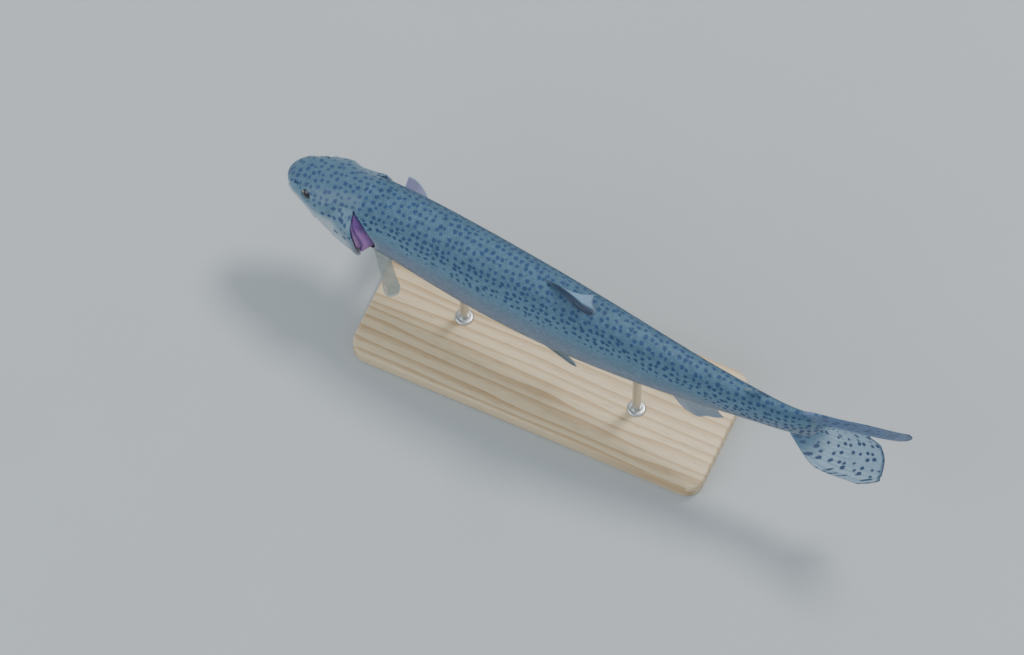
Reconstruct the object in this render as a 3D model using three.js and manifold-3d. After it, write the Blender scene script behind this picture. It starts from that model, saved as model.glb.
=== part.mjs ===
// A rainbow trout, swimming, as a still life-size model on a plain display stand.
// Millimetres, +Z up. The head points to -X and the fish's left side to -Y. The origin is on the
// table, under the middle of the model.
//
// The body is a row of oval sections along a level, gently curved axis. A place on its surface is
// told by s, the length along the axis from the snout, and by v, the turn in degrees from the back
// (0) over one side (90) to the belly (180). side is +1 on the fish's left and -1 on its right.

import * as THREE from 'three';
import Module from 'manifold-3d';

const wasm = await Module();
wasm.setup();

// ---------------------------------------------------------------- driving dimensions

const TOTAL_LENGTH = 455;             // snout to the tips of the tail fin, along the axis
const TAIL_ROOT = 384;                // where the scaled body ends and the tail fin starts
const AXIS_HEIGHT = 102;              // level of the body's axis over the table
const SNOUT = [-225.8, 9.4];         // place of the snout over the table

const GAP = 0.3;                      // left between pieces that touch
const SECTION_POWER = 2.15;           // 2 is an ellipse, more is squarer
const NOSE_ROUNDING = 12;             // length over which the snout closes to a dome
const NOSE_START = 0.5;               // s of the first ring, a small blunt face
const SNOUT_LEVEL = -3.5;             // height of the snout's tip from the axis

// Half width, height of the back and depth of the belly from the axis, at lengths along it.
const BODY = [
  { s: 0, half: 11.5, back: 5, belly: -11 },
  { s: 9, half: 13.6, back: 8.6, belly: -13.5 },
  { s: 19, half: 16.4, back: 13, belly: -18 },
  { s: 33, half: 19.2, back: 18.2, belly: -24 },
  { s: 48, half: 20.3, back: 22.6, belly: -28.5 },
  { s: 85, half: 20.6, back: 33, belly: -34.5 },
  { s: 115, half: 21, back: 37.8, belly: -37.5 },
  { s: 150, half: 20.9, back: 41, belly: -39.8 },
  { s: 190, half: 19.8, back: 41.6, belly: -39 },
  { s: 230, half: 17.8, back: 38.4, belly: -35.6 },
  { s: 270, half: 14.9, back: 31.2, belly: -29.8 },
  { s: 310, half: 11.4, back: 22.8, belly: -23.8 },
  { s: 345, half: 8, back: 17.4, belly: -19.2 },
  { s: 365, half: 6, back: 15.6, belly: -17.8 },
  { s: 384, half: 3.6, back: 16.4, belly: -18.2 },
];

// Turns of the axis in the level plane: how far each swings, in degrees, and over which lengths.
const AXIS_START = -4;
const AXIS_TURNS = [
  { from: 10, to: 115, swing: -4.5 },
  { from: 60, to: 150, swing: 0.6 },
  { from: 110, to: 350, swing: 8.5 },
  { from: 150, to: 290, swing: -1.1 },
  { from: 290, to: 370, swing: 0.5 },
  { from: 350, to: 405, swing: 13 },
];

const MOUTH_TURN = 108;               // v of the mouth line at the snout
const MOUTH_DROP = 12;                // how far v grows back to the corner of the mouth
const MOUTH_CORNER = 30;              // s of the corner of the mouth
const MOUTH_SLOT = 1.2;               // turn between the two jaws, in degrees
// The cheek's swelling: its middle, how far it reaches along and round, and how far it stands out.
const CHEEK = { s: 44, reach: 30, v: 117, spread: 56, swell: 5 };
// The temple's, over and behind the eye: it falls off more steeply towards the tail.
const TEMPLE = { s: 36, before: 24, behind: 9, v: 62, spread: 44, swell: 3.2 };

const GILL_HINGE = 42;                // s where the gill covers hinge on the cheek
const GILL_TOP = 45;                  // v of the upper corner of the gill opening
const GILL_FOOT = 150;                // v of the lower margin of the gill cover
const GILL_DEEPEST = 56;              // s from which the gill chamber has its full depth
const GILL_RECESS = [3, 8.5];         // depth of the chamber at the hinge and at its deepest
const GILL_SWING = { left: 8.5, right: 2.2 };
const CHAMBER_WALL = 0.5;             // half the turn over which the chamber's walls step in
const HINGE_WALL = 0.3;               // length over which its front wall steps in
const COVER_THICKNESS = 2;
const COVER_CLEAR = { along: 0.9, turn: 1.4 };  // clearance of a cover to the head round it
const GILLS_START = 49;               // s where the gills begin under the cover
const GILLS_ROOM = 1.2;               // clearance of the gills to the cover, chamber and shoulder
const GILLS_TURNS = [50, 144];        // v of the gills' upper and lower ends
const GILLS_LEAST = 0.6;              // thickness of the gills where the room for them is least
const ARCH_GROOVE = { count: 3, depth: 0.8 };
const COVER_EDGE = [[45, 55.6], [55, 57], [70, 60.5], [100, 65.5], [125, 67], [150, 61]];
const SHOULDER_EDGE = [[0, 57], [44, 57], [72, 68], [98, 76], [125, 71], [155, 60], [180, 53]];

const EYE = { s: 21.5, side: 11, up: 3.4, radius: 5.5 };
const EYE_SEGMENTS = [14, 9];

const TRUNK_CUTS = [138, 212, 292, 342];
const TRUNK_STEP = 11;                // length from ring to ring of the trunk

const FIN_EDGE = 0.7;                 // thickness of a fin's free edge
const ROOT_SINK = 2.5;                // how deep a fin's sheet starts under the body's surface

const ROD_DIAMETER = 6;
const RODS = { stand_rod_front: 132, stand_rod_rear: 262 };  // s of each rod
const BASE = { length: 250, width: 92, thickness: 12, corner: 12, bevel: 1.5 };

// ---------------------------------------------------------------- small maths

const clamp01 = (x) => Math.min(1, Math.max(0, x));
const lerp = (a, b, t) => a + (b - a) * t;
const radians = (degrees) => degrees * Math.PI / 180;
const steps = (from, to, count) => Array.from({ length: count + 1 }, (_, i) => lerp(from, to, i / count));

function ease(from, to, x) {
  const t = clamp01((x - from) / (to - from));
  return t * t * (3 - 2 * t);
}

// A smooth curve through (x, y) points that never overshoots them.
function curveThrough(points) {
  const widths = points.slice(1).map(([x], i) => x - points[i][0]);
  const slopes = points.slice(1).map(([, y], i) => (y - points[i][1]) / widths[i]);
  const tangents = points.map((_, i) => {
    if (i === 0) return slopes[0];
    if (i === points.length - 1) return slopes[i - 1];
    if (slopes[i - 1] * slopes[i] <= 0) return 0;
    const before = 2 * widths[i] + widths[i - 1];
    const after = widths[i] + 2 * widths[i - 1];
    return (before + after) / (before / slopes[i - 1] + after / slopes[i]);
  });
  return (x) => {
    const last = widths.length - 1;
    let i = points.findIndex(([start]) => start > x) - 1;
    if (i < 0) i = x < points[0][0] ? 0 : last;
    const t = (x - points[i][0]) / widths[i];
    const t2 = t * t;
    const t3 = t2 * t;
    return (2 * t3 - 3 * t2 + 1) * points[i][1] + (t3 - 2 * t2 + t) * widths[i] * tangents[i]
      + (3 * t2 - 2 * t3) * points[i + 1][1] + (t3 - t2) * widths[i] * tangents[i + 1];
  };
}

// ---------------------------------------------------------------- axis and sections

function heading(s) {
  const swing = (turn) => turn.swing * ease(turn.from, turn.to, s);
  return radians(AXIS_TURNS.reduce((sum, turn) => sum + swing(turn), AXIS_START));
}

const AXIS_STEP = 0.5;
const AXIS_PATH = [new THREE.Vector3(SNOUT[0], SNOUT[1], AXIS_HEIGHT)];
for (let s = 0; s < TOTAL_LENGTH + 10; s += AXIS_STEP) {
  const angle = heading(s + AXIS_STEP / 2);
  const step = new THREE.Vector3(Math.cos(angle), Math.sin(angle), 0).multiplyScalar(AXIS_STEP);
  AXIS_PATH.push(AXIS_PATH.at(-1).clone().add(step));
}

// The point at length s along the axis, moved to the fish's left by left and up by up.
function place(s, left, up) {
  const i = Math.max(0, Math.min(AXIS_PATH.length - 2, Math.floor(s / AXIS_STEP)));
  const point = AXIS_PATH[i].clone().lerp(AXIS_PATH[i + 1], s / AXIS_STEP - i);
  const angle = heading(s);
  return point.add(new THREE.Vector3(left * Math.sin(angle), -left * Math.cos(angle), up));
}

// A direction given as tailward, left and up shares, at length s.
function direction(s, tailward, left, up) {
  const angle = heading(s);
  const x = tailward * Math.cos(angle) + left * Math.sin(angle);
  const y = tailward * Math.sin(angle) - left * Math.cos(angle);
  return new THREE.Vector3(x, y, up);
}

const halfWidth = curveThrough(BODY.map((row) => [row.s, row.half]));
const backHeight = curveThrough(BODY.map((row) => [row.s, row.back]));
const bellyDepth = curveThrough(BODY.map((row) => [row.s, row.belly]));
const coverEdge = curveThrough(COVER_EDGE);
const shoulderEdge = curveThrough(SHOULDER_EDGE);

// How far out and up from the axis the body's surface lies; proud swells it all round.
function section(s, v, proud = 0) {
  const dome = Math.sqrt(1 - (1 - clamp01(s / NOSE_ROUNDING)) ** 2);
  const half = halfWidth(s) * dome + proud;
  const top = lerp(SNOUT_LEVEL, backHeight(s), dome) + proud;
  const bottom = lerp(SNOUT_LEVEL, bellyDepth(s), dome) - proud;
  const round = (x) => Math.sign(x) * Math.abs(x) ** (2 / SECTION_POWER);
  const cheek = ease(CHEEK.reach, 0, Math.abs(s - CHEEK.s)) * ease(CHEEK.spread, 0, Math.abs(v - CHEEK.v));
  const ridge = ease(TEMPLE.s - TEMPLE.before, TEMPLE.s, s) * ease(TEMPLE.s + TEMPLE.behind, TEMPLE.s, s);
  const temple = ridge * ease(TEMPLE.spread, 0, Math.abs(v - TEMPLE.v));
  const bulge = CHEEK.swell * cheek + TEMPLE.swell * temple;
  const out = half * round(Math.sin(radians(v))) + bulge;
  const up = (top + bottom) / 2 + (top - bottom) / 2 * round(Math.cos(radians(v)));
  return { out, up };
}

// How far the raised gill cover stands off the body.
function coverLift(s, v, side) {
  const swing = side > 0 ? GILL_SWING.left : GILL_SWING.right;
  const along = clamp01((s - GILL_HINGE) / (coverEdge(v) - GILL_HINGE));
  return swing * along ** 1.2 * ease(GILL_TOP, 70, v) * (1 - 0.4 * ease(128, 175, v));
}

// How deep the gill chamber is let into the side of the head.
function chamberDepth(s, v) {
  const upper = ease(GILL_TOP - CHAMBER_WALL, GILL_TOP + CHAMBER_WALL, v);
  const lower = ease(GILL_FOOT + CHAMBER_WALL, GILL_FOOT - CHAMBER_WALL, v);
  const behind = ease(GILL_HINGE, GILL_HINGE + HINGE_WALL, s);
  const depth = lerp(GILL_RECESS[0], GILL_RECESS[1], ease(GILL_HINGE, GILL_DEEPEST, s));
  return upper * lower * behind * depth;
}

// ---------------------------------------------------------------- solids from rings of points

// A closed solid through rings of points. Point k and point n-1-k of a ring face each other, so
// that the two end rings close with a ladder of flat strips.
function loft(rings) {
  const n = rings[0].length;
  const index = [];
  const quad = (a, b, c, d) => index.push(a, b, c, a, c, d);
  for (let i = 0; i < rings.length - 1; i += 1) {
    for (let k = 0; k < n; k += 1) {
      const next = (k + 1) % n;
      quad(i * n + k, i * n + next, (i + 1) * n + next, (i + 1) * n + k);
    }
  }
  const end = (rings.length - 1) * n;
  for (let k = 0; k < n / 2 - 1; k += 1) {
    quad(k, n - 1 - k, n - 2 - k, k + 1);
    quad(end + k, end + k + 1, end + n - 2 - k, end + n - 1 - k);
  }
  return solid(rings.flat().flatMap((point) => [point.x, point.y, point.z]), index);
}

function solid(vertices, index) {
  const build = (order) => new wasm.Manifold(new wasm.Mesh({
    numProp: 3,
    vertProperties: new Float32Array(vertices),
    triVerts: new Uint32Array(order),
  }));
  const made = build(index);
  if (made.volume() > 0) return made;
  const turned = [];
  for (let i = 0; i < index.length; i += 3) turned.push(index[i], index[i + 2], index[i + 1]);
  return build(turned);
}

// A three.js geometry as a solid, with the vertices that share a place made one.
function solidOf(geometry, matrix = new THREE.Matrix4()) {
  const flat = geometry.clone().applyMatrix4(matrix);
  const position = flat.getAttribute('position');
  const order = flat.index ? flat.index.array : Array(position.count).keys();
  const seen = new Map();
  const vertices = [];
  const merged = Array.from(order, (i) => {
    const corner = [position.getX(i), position.getY(i), position.getZ(i)];
    const key = corner.map((x) => Math.round(x * 1e4)).join();
    if (!seen.has(key)) {
      seen.set(key, seen.size);
      vertices.push(...corner);
    }
    return seen.get(key);
  });
  const index = [];
  for (let i = 0; i < merged.length; i += 3) {
    const [a, b, c] = merged.slice(i, i + 3);
    if (a !== b && b !== c && c !== a) index.push(a, b, c);
  }
  return solid(vertices, index);
}

const trout = new THREE.Group();

function add(name, made, material) {
  const mesh = made.getMesh();
  const geometry = new THREE.BufferGeometry();
  const position = new Float32Array(mesh.numVert * 3);
  for (let i = 0; i < mesh.numVert; i += 1) {
    for (let k = 0; k < 3; k += 1) position[3 * i + k] = mesh.vertProperties[mesh.numProp * i + k];
  }
  geometry.setAttribute('position', new THREE.BufferAttribute(position, 3));
  geometry.setIndex(Array.from(mesh.triVerts));
  geometry.computeVertexNormals();
  const node = new THREE.Mesh(geometry, material.clone());
  node.name = name;
  trout.add(node);
}

const paint = (color, roughness, metalness = 0) => (
  new THREE.MeshStandardMaterial({ color, roughness, metalness })
);
const SKIN = paint(0x6f8781, 0.4);
const PALE_SKIN = paint(0xb9bfb8, 0.4);
const GILL = paint(0xb0577e, 0.35);
const FIN = paint(0x8b8f80, 0.5);
const EYE_GLOSS = paint(0x1b2226, 0.1);
const STEEL = paint(0xa9adb0, 0.3, 1);
const WOOD = paint(0xc9b99b, 0.6);

// ---------------------------------------------------------------- the body

const SIDES = [['left', 1], ['right', -1]];

// The points of a ring from v = from on the right over the back to v = from on the left, or under
// the belly where from is larger than to. at(v, side) gives each point.
function arc(turns, at) {
  const right = turns.slice().reverse().map((v) => at(v, -1));
  const left = turns.map((v) => at(v, 1));
  return [...right, ...left];
}

const RING_START = 5.6;               // v of a trunk ring's first point on each side of the back
const FULL_TURNS = steps(RING_START, 180 - RING_START, 15);

function bodyRing(sAt, proud = 0) {
  return arc(FULL_TURNS, (v, side) => {
    const s = sAt(v);
    const { out, up } = section(s, v, proud);
    return place(s, side * out, up);
  });
}

// The body from behind the eyes, swollen by the gap: fins and rods are cut back to it.
const SWOLLEN_FROM = 30;
const SWOLLEN_PAST = 0.5;
const bodySwollen = loft(
  steps(SWOLLEN_FROM, TAIL_ROOT + SWOLLEN_PAST, 40).map((s) => bodyRing(() => s, GAP)),
);

const mouthTurn = (s) => MOUTH_TURN + MOUTH_DROP * clamp01(s / MOUTH_CORNER);

// A ring of the head between two turns, with the gill chambers let in.
function headRing(turns, sAt) {
  return arc(turns, (v, side) => {
    const s = sAt(v);
    const { out, up } = section(s, v);
    return place(s, side * (out - chamberDepth(s, v)), up);
  });
}

// s of the head's rings, and shares of the way from the hinge to the shoulder of those behind.
const HEAD_RINGS = [NOSE_START, 1.5, 3.2, 5.6, 9, 14, 20, 27, 34, GILL_HINGE, GILL_HINGE + HINGE_WALL];
const THROAT_RINGS = [0.3, 0.65, 1];
const HEAD_MARGIN = 5;                // v from the midlines to the head's first points

// The head's rings: plain ones to the hinge of the gill covers, then ones that lean back until
// they follow the shoulder.
function headRings(turnsAt) {
  const front = HEAD_RINGS.map((s) => headRing(turnsAt(s), () => s));
  const hinge = HEAD_RINGS.at(-1);
  const rear = THROAT_RINGS.map((t) => {
    return headRing(turnsAt(hinge), (v) => lerp(hinge, shoulderEdge(v) - 2 * GAP, t));
  });
  return [...front, ...rear];
}

// Turns of the points over and under the mouth, with two close together at each chamber wall.
function upperTurns(s) {
  const crown = steps(HEAD_MARGIN, GILL_TOP - CHAMBER_WALL, 4);
  return [...crown, ...steps(GILL_TOP + CHAMBER_WALL, mouthTurn(s) - MOUTH_SLOT / 2, 6)];
}

function lowerTurns(s) {
  const cheek = steps(mouthTurn(s) + MOUTH_SLOT / 2, GILL_FOOT - CHAMBER_WALL, 3);
  return [...cheek, ...steps(GILL_FOOT + CHAMBER_WALL, 180 - HEAD_MARGIN, 3)];
}

// The lower jaw starts one ring behind the upper one.
let head = loft(headRings(upperTurns));
const jaw = loft(headRings(lowerTurns).slice(1));

const eyeBall = new THREE.SphereGeometry(EYE.radius, ...EYE_SEGMENTS);
const eyeSocket = new THREE.SphereGeometry(EYE.radius + GAP, ...EYE_SEGMENTS);
for (const [name, side] of SIDES) {
  const centre = place(EYE.s, side * EYE.side, EYE.up);
  const at = new THREE.Matrix4().makeTranslation(centre.x, centre.y, centre.z);
  head = head.subtract(solidOf(eyeSocket, at));
  add(`eye_${name}`, solidOf(eyeBall, at), EYE_GLOSS);
}
add('head', head, SKIN);
add('jaw_lower', jaw, PALE_SKIN);

// A gill cover: a curved plate whose back edge stands off the body.
function gillCover(side) {
  const turns = steps(GILL_TOP + COVER_CLEAR.turn, GILL_FOOT - COVER_CLEAR.turn, 9);
  const plate = (t) => {
    const point = (v, inward) => {
      const s = lerp(GILL_HINGE + COVER_CLEAR.along, coverEdge(v), t);
      const { out, up } = section(s, v);
      return place(s, side * (out + coverLift(s, v, side) - inward), up);
    };
    const outer = turns.map((v) => point(v, 0));
    const inner = turns.slice().reverse().map((v) => point(v, COVER_THICKNESS));
    return [...outer, ...inner];
  };
  return loft(steps(0, 1, 6).map(plate));
}

// The gills of one side: a crescent that rises with the cover and falls to the shoulder behind
// its edge, with the grooves between its arches.
function gills(side) {
  const turns = steps(...GILLS_TURNS, 8);
  const slice = (t) => {
    const point = (v, outer) => {
      const s = lerp(GILLS_START, shoulderEdge(v) - GILLS_ROOM, t);
      const { out, up } = section(s, v);
      const floor = out - chamberDepth(s, v) + GILLS_ROOM;
      const under = coverLift(s, v, side) - COVER_THICKNESS;
      const rise = under > 0 ? under * ease(shoulderEdge(v), coverEdge(v), s) : under;
      const groove = ARCH_GROOVE.depth * Math.abs(Math.sin(Math.PI * ARCH_GROOVE.count * t));
      const roof = out + rise - GILLS_ROOM - groove;
      return place(s, side * (outer ? Math.max(floor + GILLS_LEAST, roof) : floor), up);
    };
    return [...turns.map((v) => point(v, true)), ...turns.slice().reverse().map((v) => point(v, false))];
  };
  return loft(steps(0, 1, 9).map(slice));
}

for (const [name, side] of SIDES) {
  add(`gill_cover_${name}`, gillCover(side), PALE_SKIN);
  add(`gills_${name}`, gills(side), GILL);
}

// The trunk in four lengths and the tail stalk. The first starts at the shoulder behind the gills.
const TRUNK_NAMES = ['trunk_front', 'trunk_middle', 'trunk_hind', 'trunk_vent', 'tail_stalk'];
TRUNK_NAMES.forEach((name, i) => {
  const to = i < TRUNK_CUTS.length ? TRUNK_CUTS[i] - GAP / 2 : TAIL_ROOT;
  const from = i > 0 ? TRUNK_CUTS[i - 1] + GAP / 2 : null;
  const count = Math.round((to - (from ?? shoulderEdge(180))) / TRUNK_STEP);
  const rings = steps(0, 1, count).map((t) => {
    return bodyRing((v) => lerp(from ?? shoulderEdge(v), to, t));
  });
  add(name, loft(rings), SKIN);
});

// ---------------------------------------------------------------- fins

// A fin is a fan of rays. at(u, t) is the point of its middle sheet at ray u (0 first, 1 last) and
// at share t of the ray's length. It thins from root to edge, and its root is cut to the body.
function fin(name, rays, lengths, thickness, at) {
  const small = 0.01;                 // share of the fan over which the slopes are measured
  const normal = (u, t) => {
    const alongRay = at(u, t + small).sub(at(u, t - small));
    const acrossRays = at(u + small, t).sub(at(u - small, t));
    return alongRay.cross(acrossRays).normalize();
  };
  const ring = (t) => {
    const half = lerp(thickness, FIN_EDGE, t) / 2;
    const face = (u, sign) => at(u, t).addScaledVector(normal(u, t), sign * half);
    const us = steps(0, 1, rays);
    return [...us.map((u) => face(u, 1)), ...us.slice().reverse().map((u) => face(u, -1))];
  };
  const blade = loft(steps(0, 1, lengths).map(ring)).subtract(bodySwollen);
  const pieces = blade.decompose().sort((a, b) => b.volume() - a.volume());
  add(name, pieces[0], FIN);
}

// A fin on the midline: its rays sweep back and lean to one side as they rise. Sweep and lean are
// given for its first and its last ray.
function midlineFin(name, shape) {
  const rayLength = curveThrough(shape.rays);
  fin(name, shape.count, shape.steps, shape.thickness, (u, t) => {
    const s = lerp(shape.from, shape.to, u);
    const edge = shape.up > 0 ? backHeight(s) : bellyDepth(s);
    const reach = (rayLength(u) + ROOT_SINK) * t;
    const sweep = radians(lerp(shape.sweep[0], shape.sweep[1], u) * (0.8 + 0.2 * t));
    const lean = radians(lerp(shape.lean[0], shape.lean[1], u) * Math.min(1, 0.25 + t));
    const rise = reach * Math.cos(sweep);
    const along = s + reach * Math.sin(sweep);
    const level = edge - shape.up * ROOT_SINK + shape.up * rise * Math.cos(lean);
    return place(along, rise * Math.sin(lean), level);
  });
}

midlineFin('fin_dorsal', {
  from: 190, to: 219, up: 1, sweep: [73, 48], lean: [52, -25], count: 10, steps: 5, thickness: 1.8,
  rays: [[0, 42], [0.12, 42], [0.5, 27], [1, 11]],
});
midlineFin('fin_adipose', {
  from: 336, to: 344, up: 1, sweep: [50, 62], lean: [6, 6], count: 4, steps: 5, thickness: 2.4,
  rays: [[0, 12], [0.5, 13], [1, 10]],
});
midlineFin('fin_anal', {
  from: 279, to: 313, up: -1, sweep: [46, 48], lean: [12, 18], count: 9, steps: 5, thickness: 1.7,
  rays: [[0, 24], [0.18, 28], [0.5, 23], [1, 15]],
});

// The tail fin: rays fan from the stalk's end to a forked edge. Both lobes lean to the fish's left,
// as the tail is caught at the end of a stroke. u runs from the lower to the upper edge.
const TAIL_SPREAD = { upper: 49, lower: 48 };
const TAIL_FLARE = { upper: 0.85, lower: 0.55 };   // under 1, a lobe widens soonest at its root
const TAIL_LEAN = { upper: [12, 18.5], lower: [31, 21] };  // halfway along and at the tip
const TAIL_CUP = { upper: 3, lower: 0 };         // how hollow a lobe is on its right
const TAIL_ROOT_BOW = { upper: 4, lower: 11 };   // how far forward its root reaches at the ends
const TAIL_ROOT_CLEAR = 0.4;          // how much lower its root is than the stalk
const TAIL_HINGE_BEND = 8;            // distance from the middle over which the lobes start to lean
const tailEdge = curveThrough([[-1, 419], [-0.86, 433], [-0.5, 434.5], [-0.2, 431], [0, 423],
  [0.2, 430], [0.5, 443], [0.88, 452], [1, 450]]);

function tailPoint(w, t) {
  const lobe = w > 0 ? 'upper' : 'lower';
  const root = TAIL_ROOT - ROOT_SINK - TAIL_ROOT_BOW[lobe] * w * w;
  const s = lerp(root, tailEdge(Math.max(-1, Math.min(1, w))), t);
  const middle = (backHeight(TAIL_ROOT) + bellyDepth(TAIL_ROOT)) / 2;
  const rootHeight = (backHeight(TAIL_ROOT) - bellyDepth(TAIL_ROOT)) / 2 - TAIL_ROOT_CLEAR;
  const off = w * lerp(rootHeight, TAIL_SPREAD[lobe], Math.max(0, t) ** TAIL_FLARE[lobe]);
  const bend = Math.hypot(off, TAIL_HINGE_BEND) - TAIL_HINGE_BEND;
  const lean = radians(lerp(...TAIL_LEAN[lobe], ease(0.3, 1, t)) * ease(-0.1, 0.45, t));
  const hollow = TAIL_CUP[lobe] * Math.sin(Math.PI * Math.abs(w)) * ease(0, 1, t);
  return place(s, bend * Math.sin(lean) + hollow, middle + off * Math.cos(lean));
}

fin('fin_caudal', 18, 7, 2.4, (u, t) => tailPoint(2 * u - 1, t));

// A paired fin: a fan between a leading and a last ray, given tailward, outward and up.
function pairedFin(name, side, shape) {
  const rayLength = curveThrough(shape.rays);
  const ray = (given) => direction(shape.root.s, given[0], side * given[1], given[2]).normalize();
  const lead = ray(shape.lead);
  const last = ray(shape.last);
  const across = lead.clone().cross(last).normalize();
  fin(name, 7, 5, shape.thickness, (u, t) => {
    const s = shape.root.s + shape.root.length * u;
    const v = shape.root.v + shape.root.drop * u;
    const { out, up } = section(s, v, -ROOT_SINK);
    const along = lead.clone().lerp(last, ease(-0.3, 1.3, u)).normalize();
    const camber = shape.camber * Math.sin(Math.PI * clamp01(t) / 2) * (u - 0.5);
    return place(s, side * out, up).addScaledVector(along, (rayLength(u) + ROOT_SINK) * t)
      .addScaledVector(across, camber);
  });
}

const PECTORAL_RAYS = [[0, 51], [0.12, 53], [0.5, 45], [0.85, 34], [1, 28]];
const PELVIC_RAYS = [[0, 32], [0.2, 34], [0.6, 29], [1, 20]];
const PECTORAL_ROOT = { s: 71.5, length: 11, v: 127, drop: 6 };
const PELVIC_ROOT = { s: 187, length: 9, v: 141, drop: 9 };
pairedFin('fin_pectoral_left', 1, {
  root: PECTORAL_ROOT, rays: PECTORAL_RAYS, thickness: 1.8, camber: 4,
  lead: [9, 7, -51], last: [16, 5, -32],
});
pairedFin('fin_pectoral_right', -1, {
  root: PECTORAL_ROOT, rays: PECTORAL_RAYS, thickness: 1.8, camber: 4,
  lead: [-14, 31, -30], last: [3, 24, -22],
});
for (const [name, side] of SIDES) {
  pairedFin(`fin_pelvic_${name}`, side, {
    root: PELVIC_ROOT, rays: PELVIC_RAYS, thickness: 1.7, camber: 2,
    lead: [30, 3, -5], last: [30, 1, -4],
  });
}

// ---------------------------------------------------------------- the display stand

const rodFeet = Object.values(RODS).map((s) => place(s, 0, 0));
for (const [name, s] of Object.entries(RODS)) {
  const foot = place(s, 0, 0);
  const from = BASE.thickness + GAP;
  const height = AXIS_HEIGHT - from;
  const rod = new THREE.CylinderGeometry(ROD_DIAMETER / 2, ROD_DIAMETER / 2, height, 20);
  const at = new THREE.Matrix4().makeRotationX(Math.PI / 2);
  at.setPosition(foot.x, foot.y, from + height / 2);
  add(name, solidOf(rod, at).subtract(bodySwollen), STEEL);
}

// A flat plate with rounded corners and softened edges, under the middle of the two rods.
function basePlate() {
  const { length, width, thickness, corner, bevel } = BASE;
  const x = length / 2 - bevel;
  const y = width / 2 - bevel;
  const r = corner - bevel;
  const outline = new THREE.Shape();
  outline.absarc(x - r, -y + r, r, -Math.PI / 2, 0);
  outline.absarc(x - r, y - r, r, 0, Math.PI / 2);
  outline.absarc(-x + r, y - r, r, Math.PI / 2, Math.PI);
  outline.absarc(-x + r, -y + r, r, Math.PI, Math.PI * 1.5);
  const geometry = new THREE.ExtrudeGeometry(outline, {
    depth: thickness - 2 * bevel, bevelEnabled: true, bevelThickness: bevel, bevelSize: bevel,
    bevelSegments: 1, curveSegments: 5, steps: 1,
  });
  const middle = rodFeet[0].clone().add(rodFeet[1]).multiplyScalar(0.5);
  return solidOf(geometry, new THREE.Matrix4().makeTranslation(middle.x, middle.y, bevel));
}

add('stand_base', basePlate(), WOOD);

export default trout;
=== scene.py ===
"""A rainbow trout as a still, life-size display model on a plain stand.

Sizes are in millimetres until a mesh is made. A place on the body is told by s, the length along
the body's curved axis from the snout, by v, the turn in degrees from the back (0) over one side
(90) to the belly (180), and by side, +1 on the fish's left and -1 on its right.
"""

import logging
import math
from collections.abc import Callable
from dataclasses import dataclass
from enum import Enum

import bpy
import numpy as np
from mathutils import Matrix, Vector


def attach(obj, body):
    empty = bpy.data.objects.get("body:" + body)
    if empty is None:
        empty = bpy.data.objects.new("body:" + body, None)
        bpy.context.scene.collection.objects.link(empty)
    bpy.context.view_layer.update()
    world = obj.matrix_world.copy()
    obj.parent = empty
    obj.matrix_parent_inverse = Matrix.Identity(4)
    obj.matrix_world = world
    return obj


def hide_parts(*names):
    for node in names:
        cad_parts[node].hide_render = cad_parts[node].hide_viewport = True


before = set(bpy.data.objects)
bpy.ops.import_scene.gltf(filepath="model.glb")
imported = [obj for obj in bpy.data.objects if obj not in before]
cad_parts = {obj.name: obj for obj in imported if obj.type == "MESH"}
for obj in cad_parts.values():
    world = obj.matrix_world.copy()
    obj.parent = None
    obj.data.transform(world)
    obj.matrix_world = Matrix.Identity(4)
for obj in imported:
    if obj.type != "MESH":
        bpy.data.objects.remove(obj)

MM = 0.001
BAKE_MAP = "OFBake"
Array = np.ndarray
Shape = Callable[[Array, Array], Array]
Piece = bpy.types.Object
Material = bpy.types.Material

log = logging.getLogger("trout")


# ---------------------------------------- small maths


def ease(start: float, end: float, x: Array) -> Array:
    """Smooth step: 0 at start, 1 at end, with t*t*(3-2t) between; start may be the larger."""
    t = np.clip((x - start) / (end - start), 0.0, 1.0)
    return t * t * (3 - 2 * t)


def bell(x: Array, width: float) -> Array:
    """The bell exp(-(x/width)^2), for small ridges and grooves."""
    return np.exp(-((x / width) ** 2))


def mix(a: Array, b: Array, t: Array) -> Array:
    """The straight blend from a to b."""
    return a + (b - a) * t


def unit(vectors: Array) -> Array:
    """The vectors at length 1, along the last axis."""
    return vectors / np.maximum(np.linalg.norm(vectors, axis=-1, keepdims=True), 1e-9)


def sample(table: Array, x: Array, y: Array) -> Array:
    """Reads a table between its points.

    Args:
        table: values on a grid, rows by columns.
        x: places in rows, which may be fractions.
        y: places in columns, which may be fractions.

    Returns:
        The bilinear blend of the four values round each place.
    """
    x = np.clip(x, 0, table.shape[0] - 1.001)
    y = np.clip(y, 0, table.shape[1] - 1.001)
    i, j = x.astype(int), y.astype(int)
    p, q = x - i, y - j
    low = table[i, j] * (1 - q) + table[i, j + 1] * q
    high = table[i + 1, j] * (1 - q) + table[i + 1, j + 1] * q
    return low * (1 - p) + high * p


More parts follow.
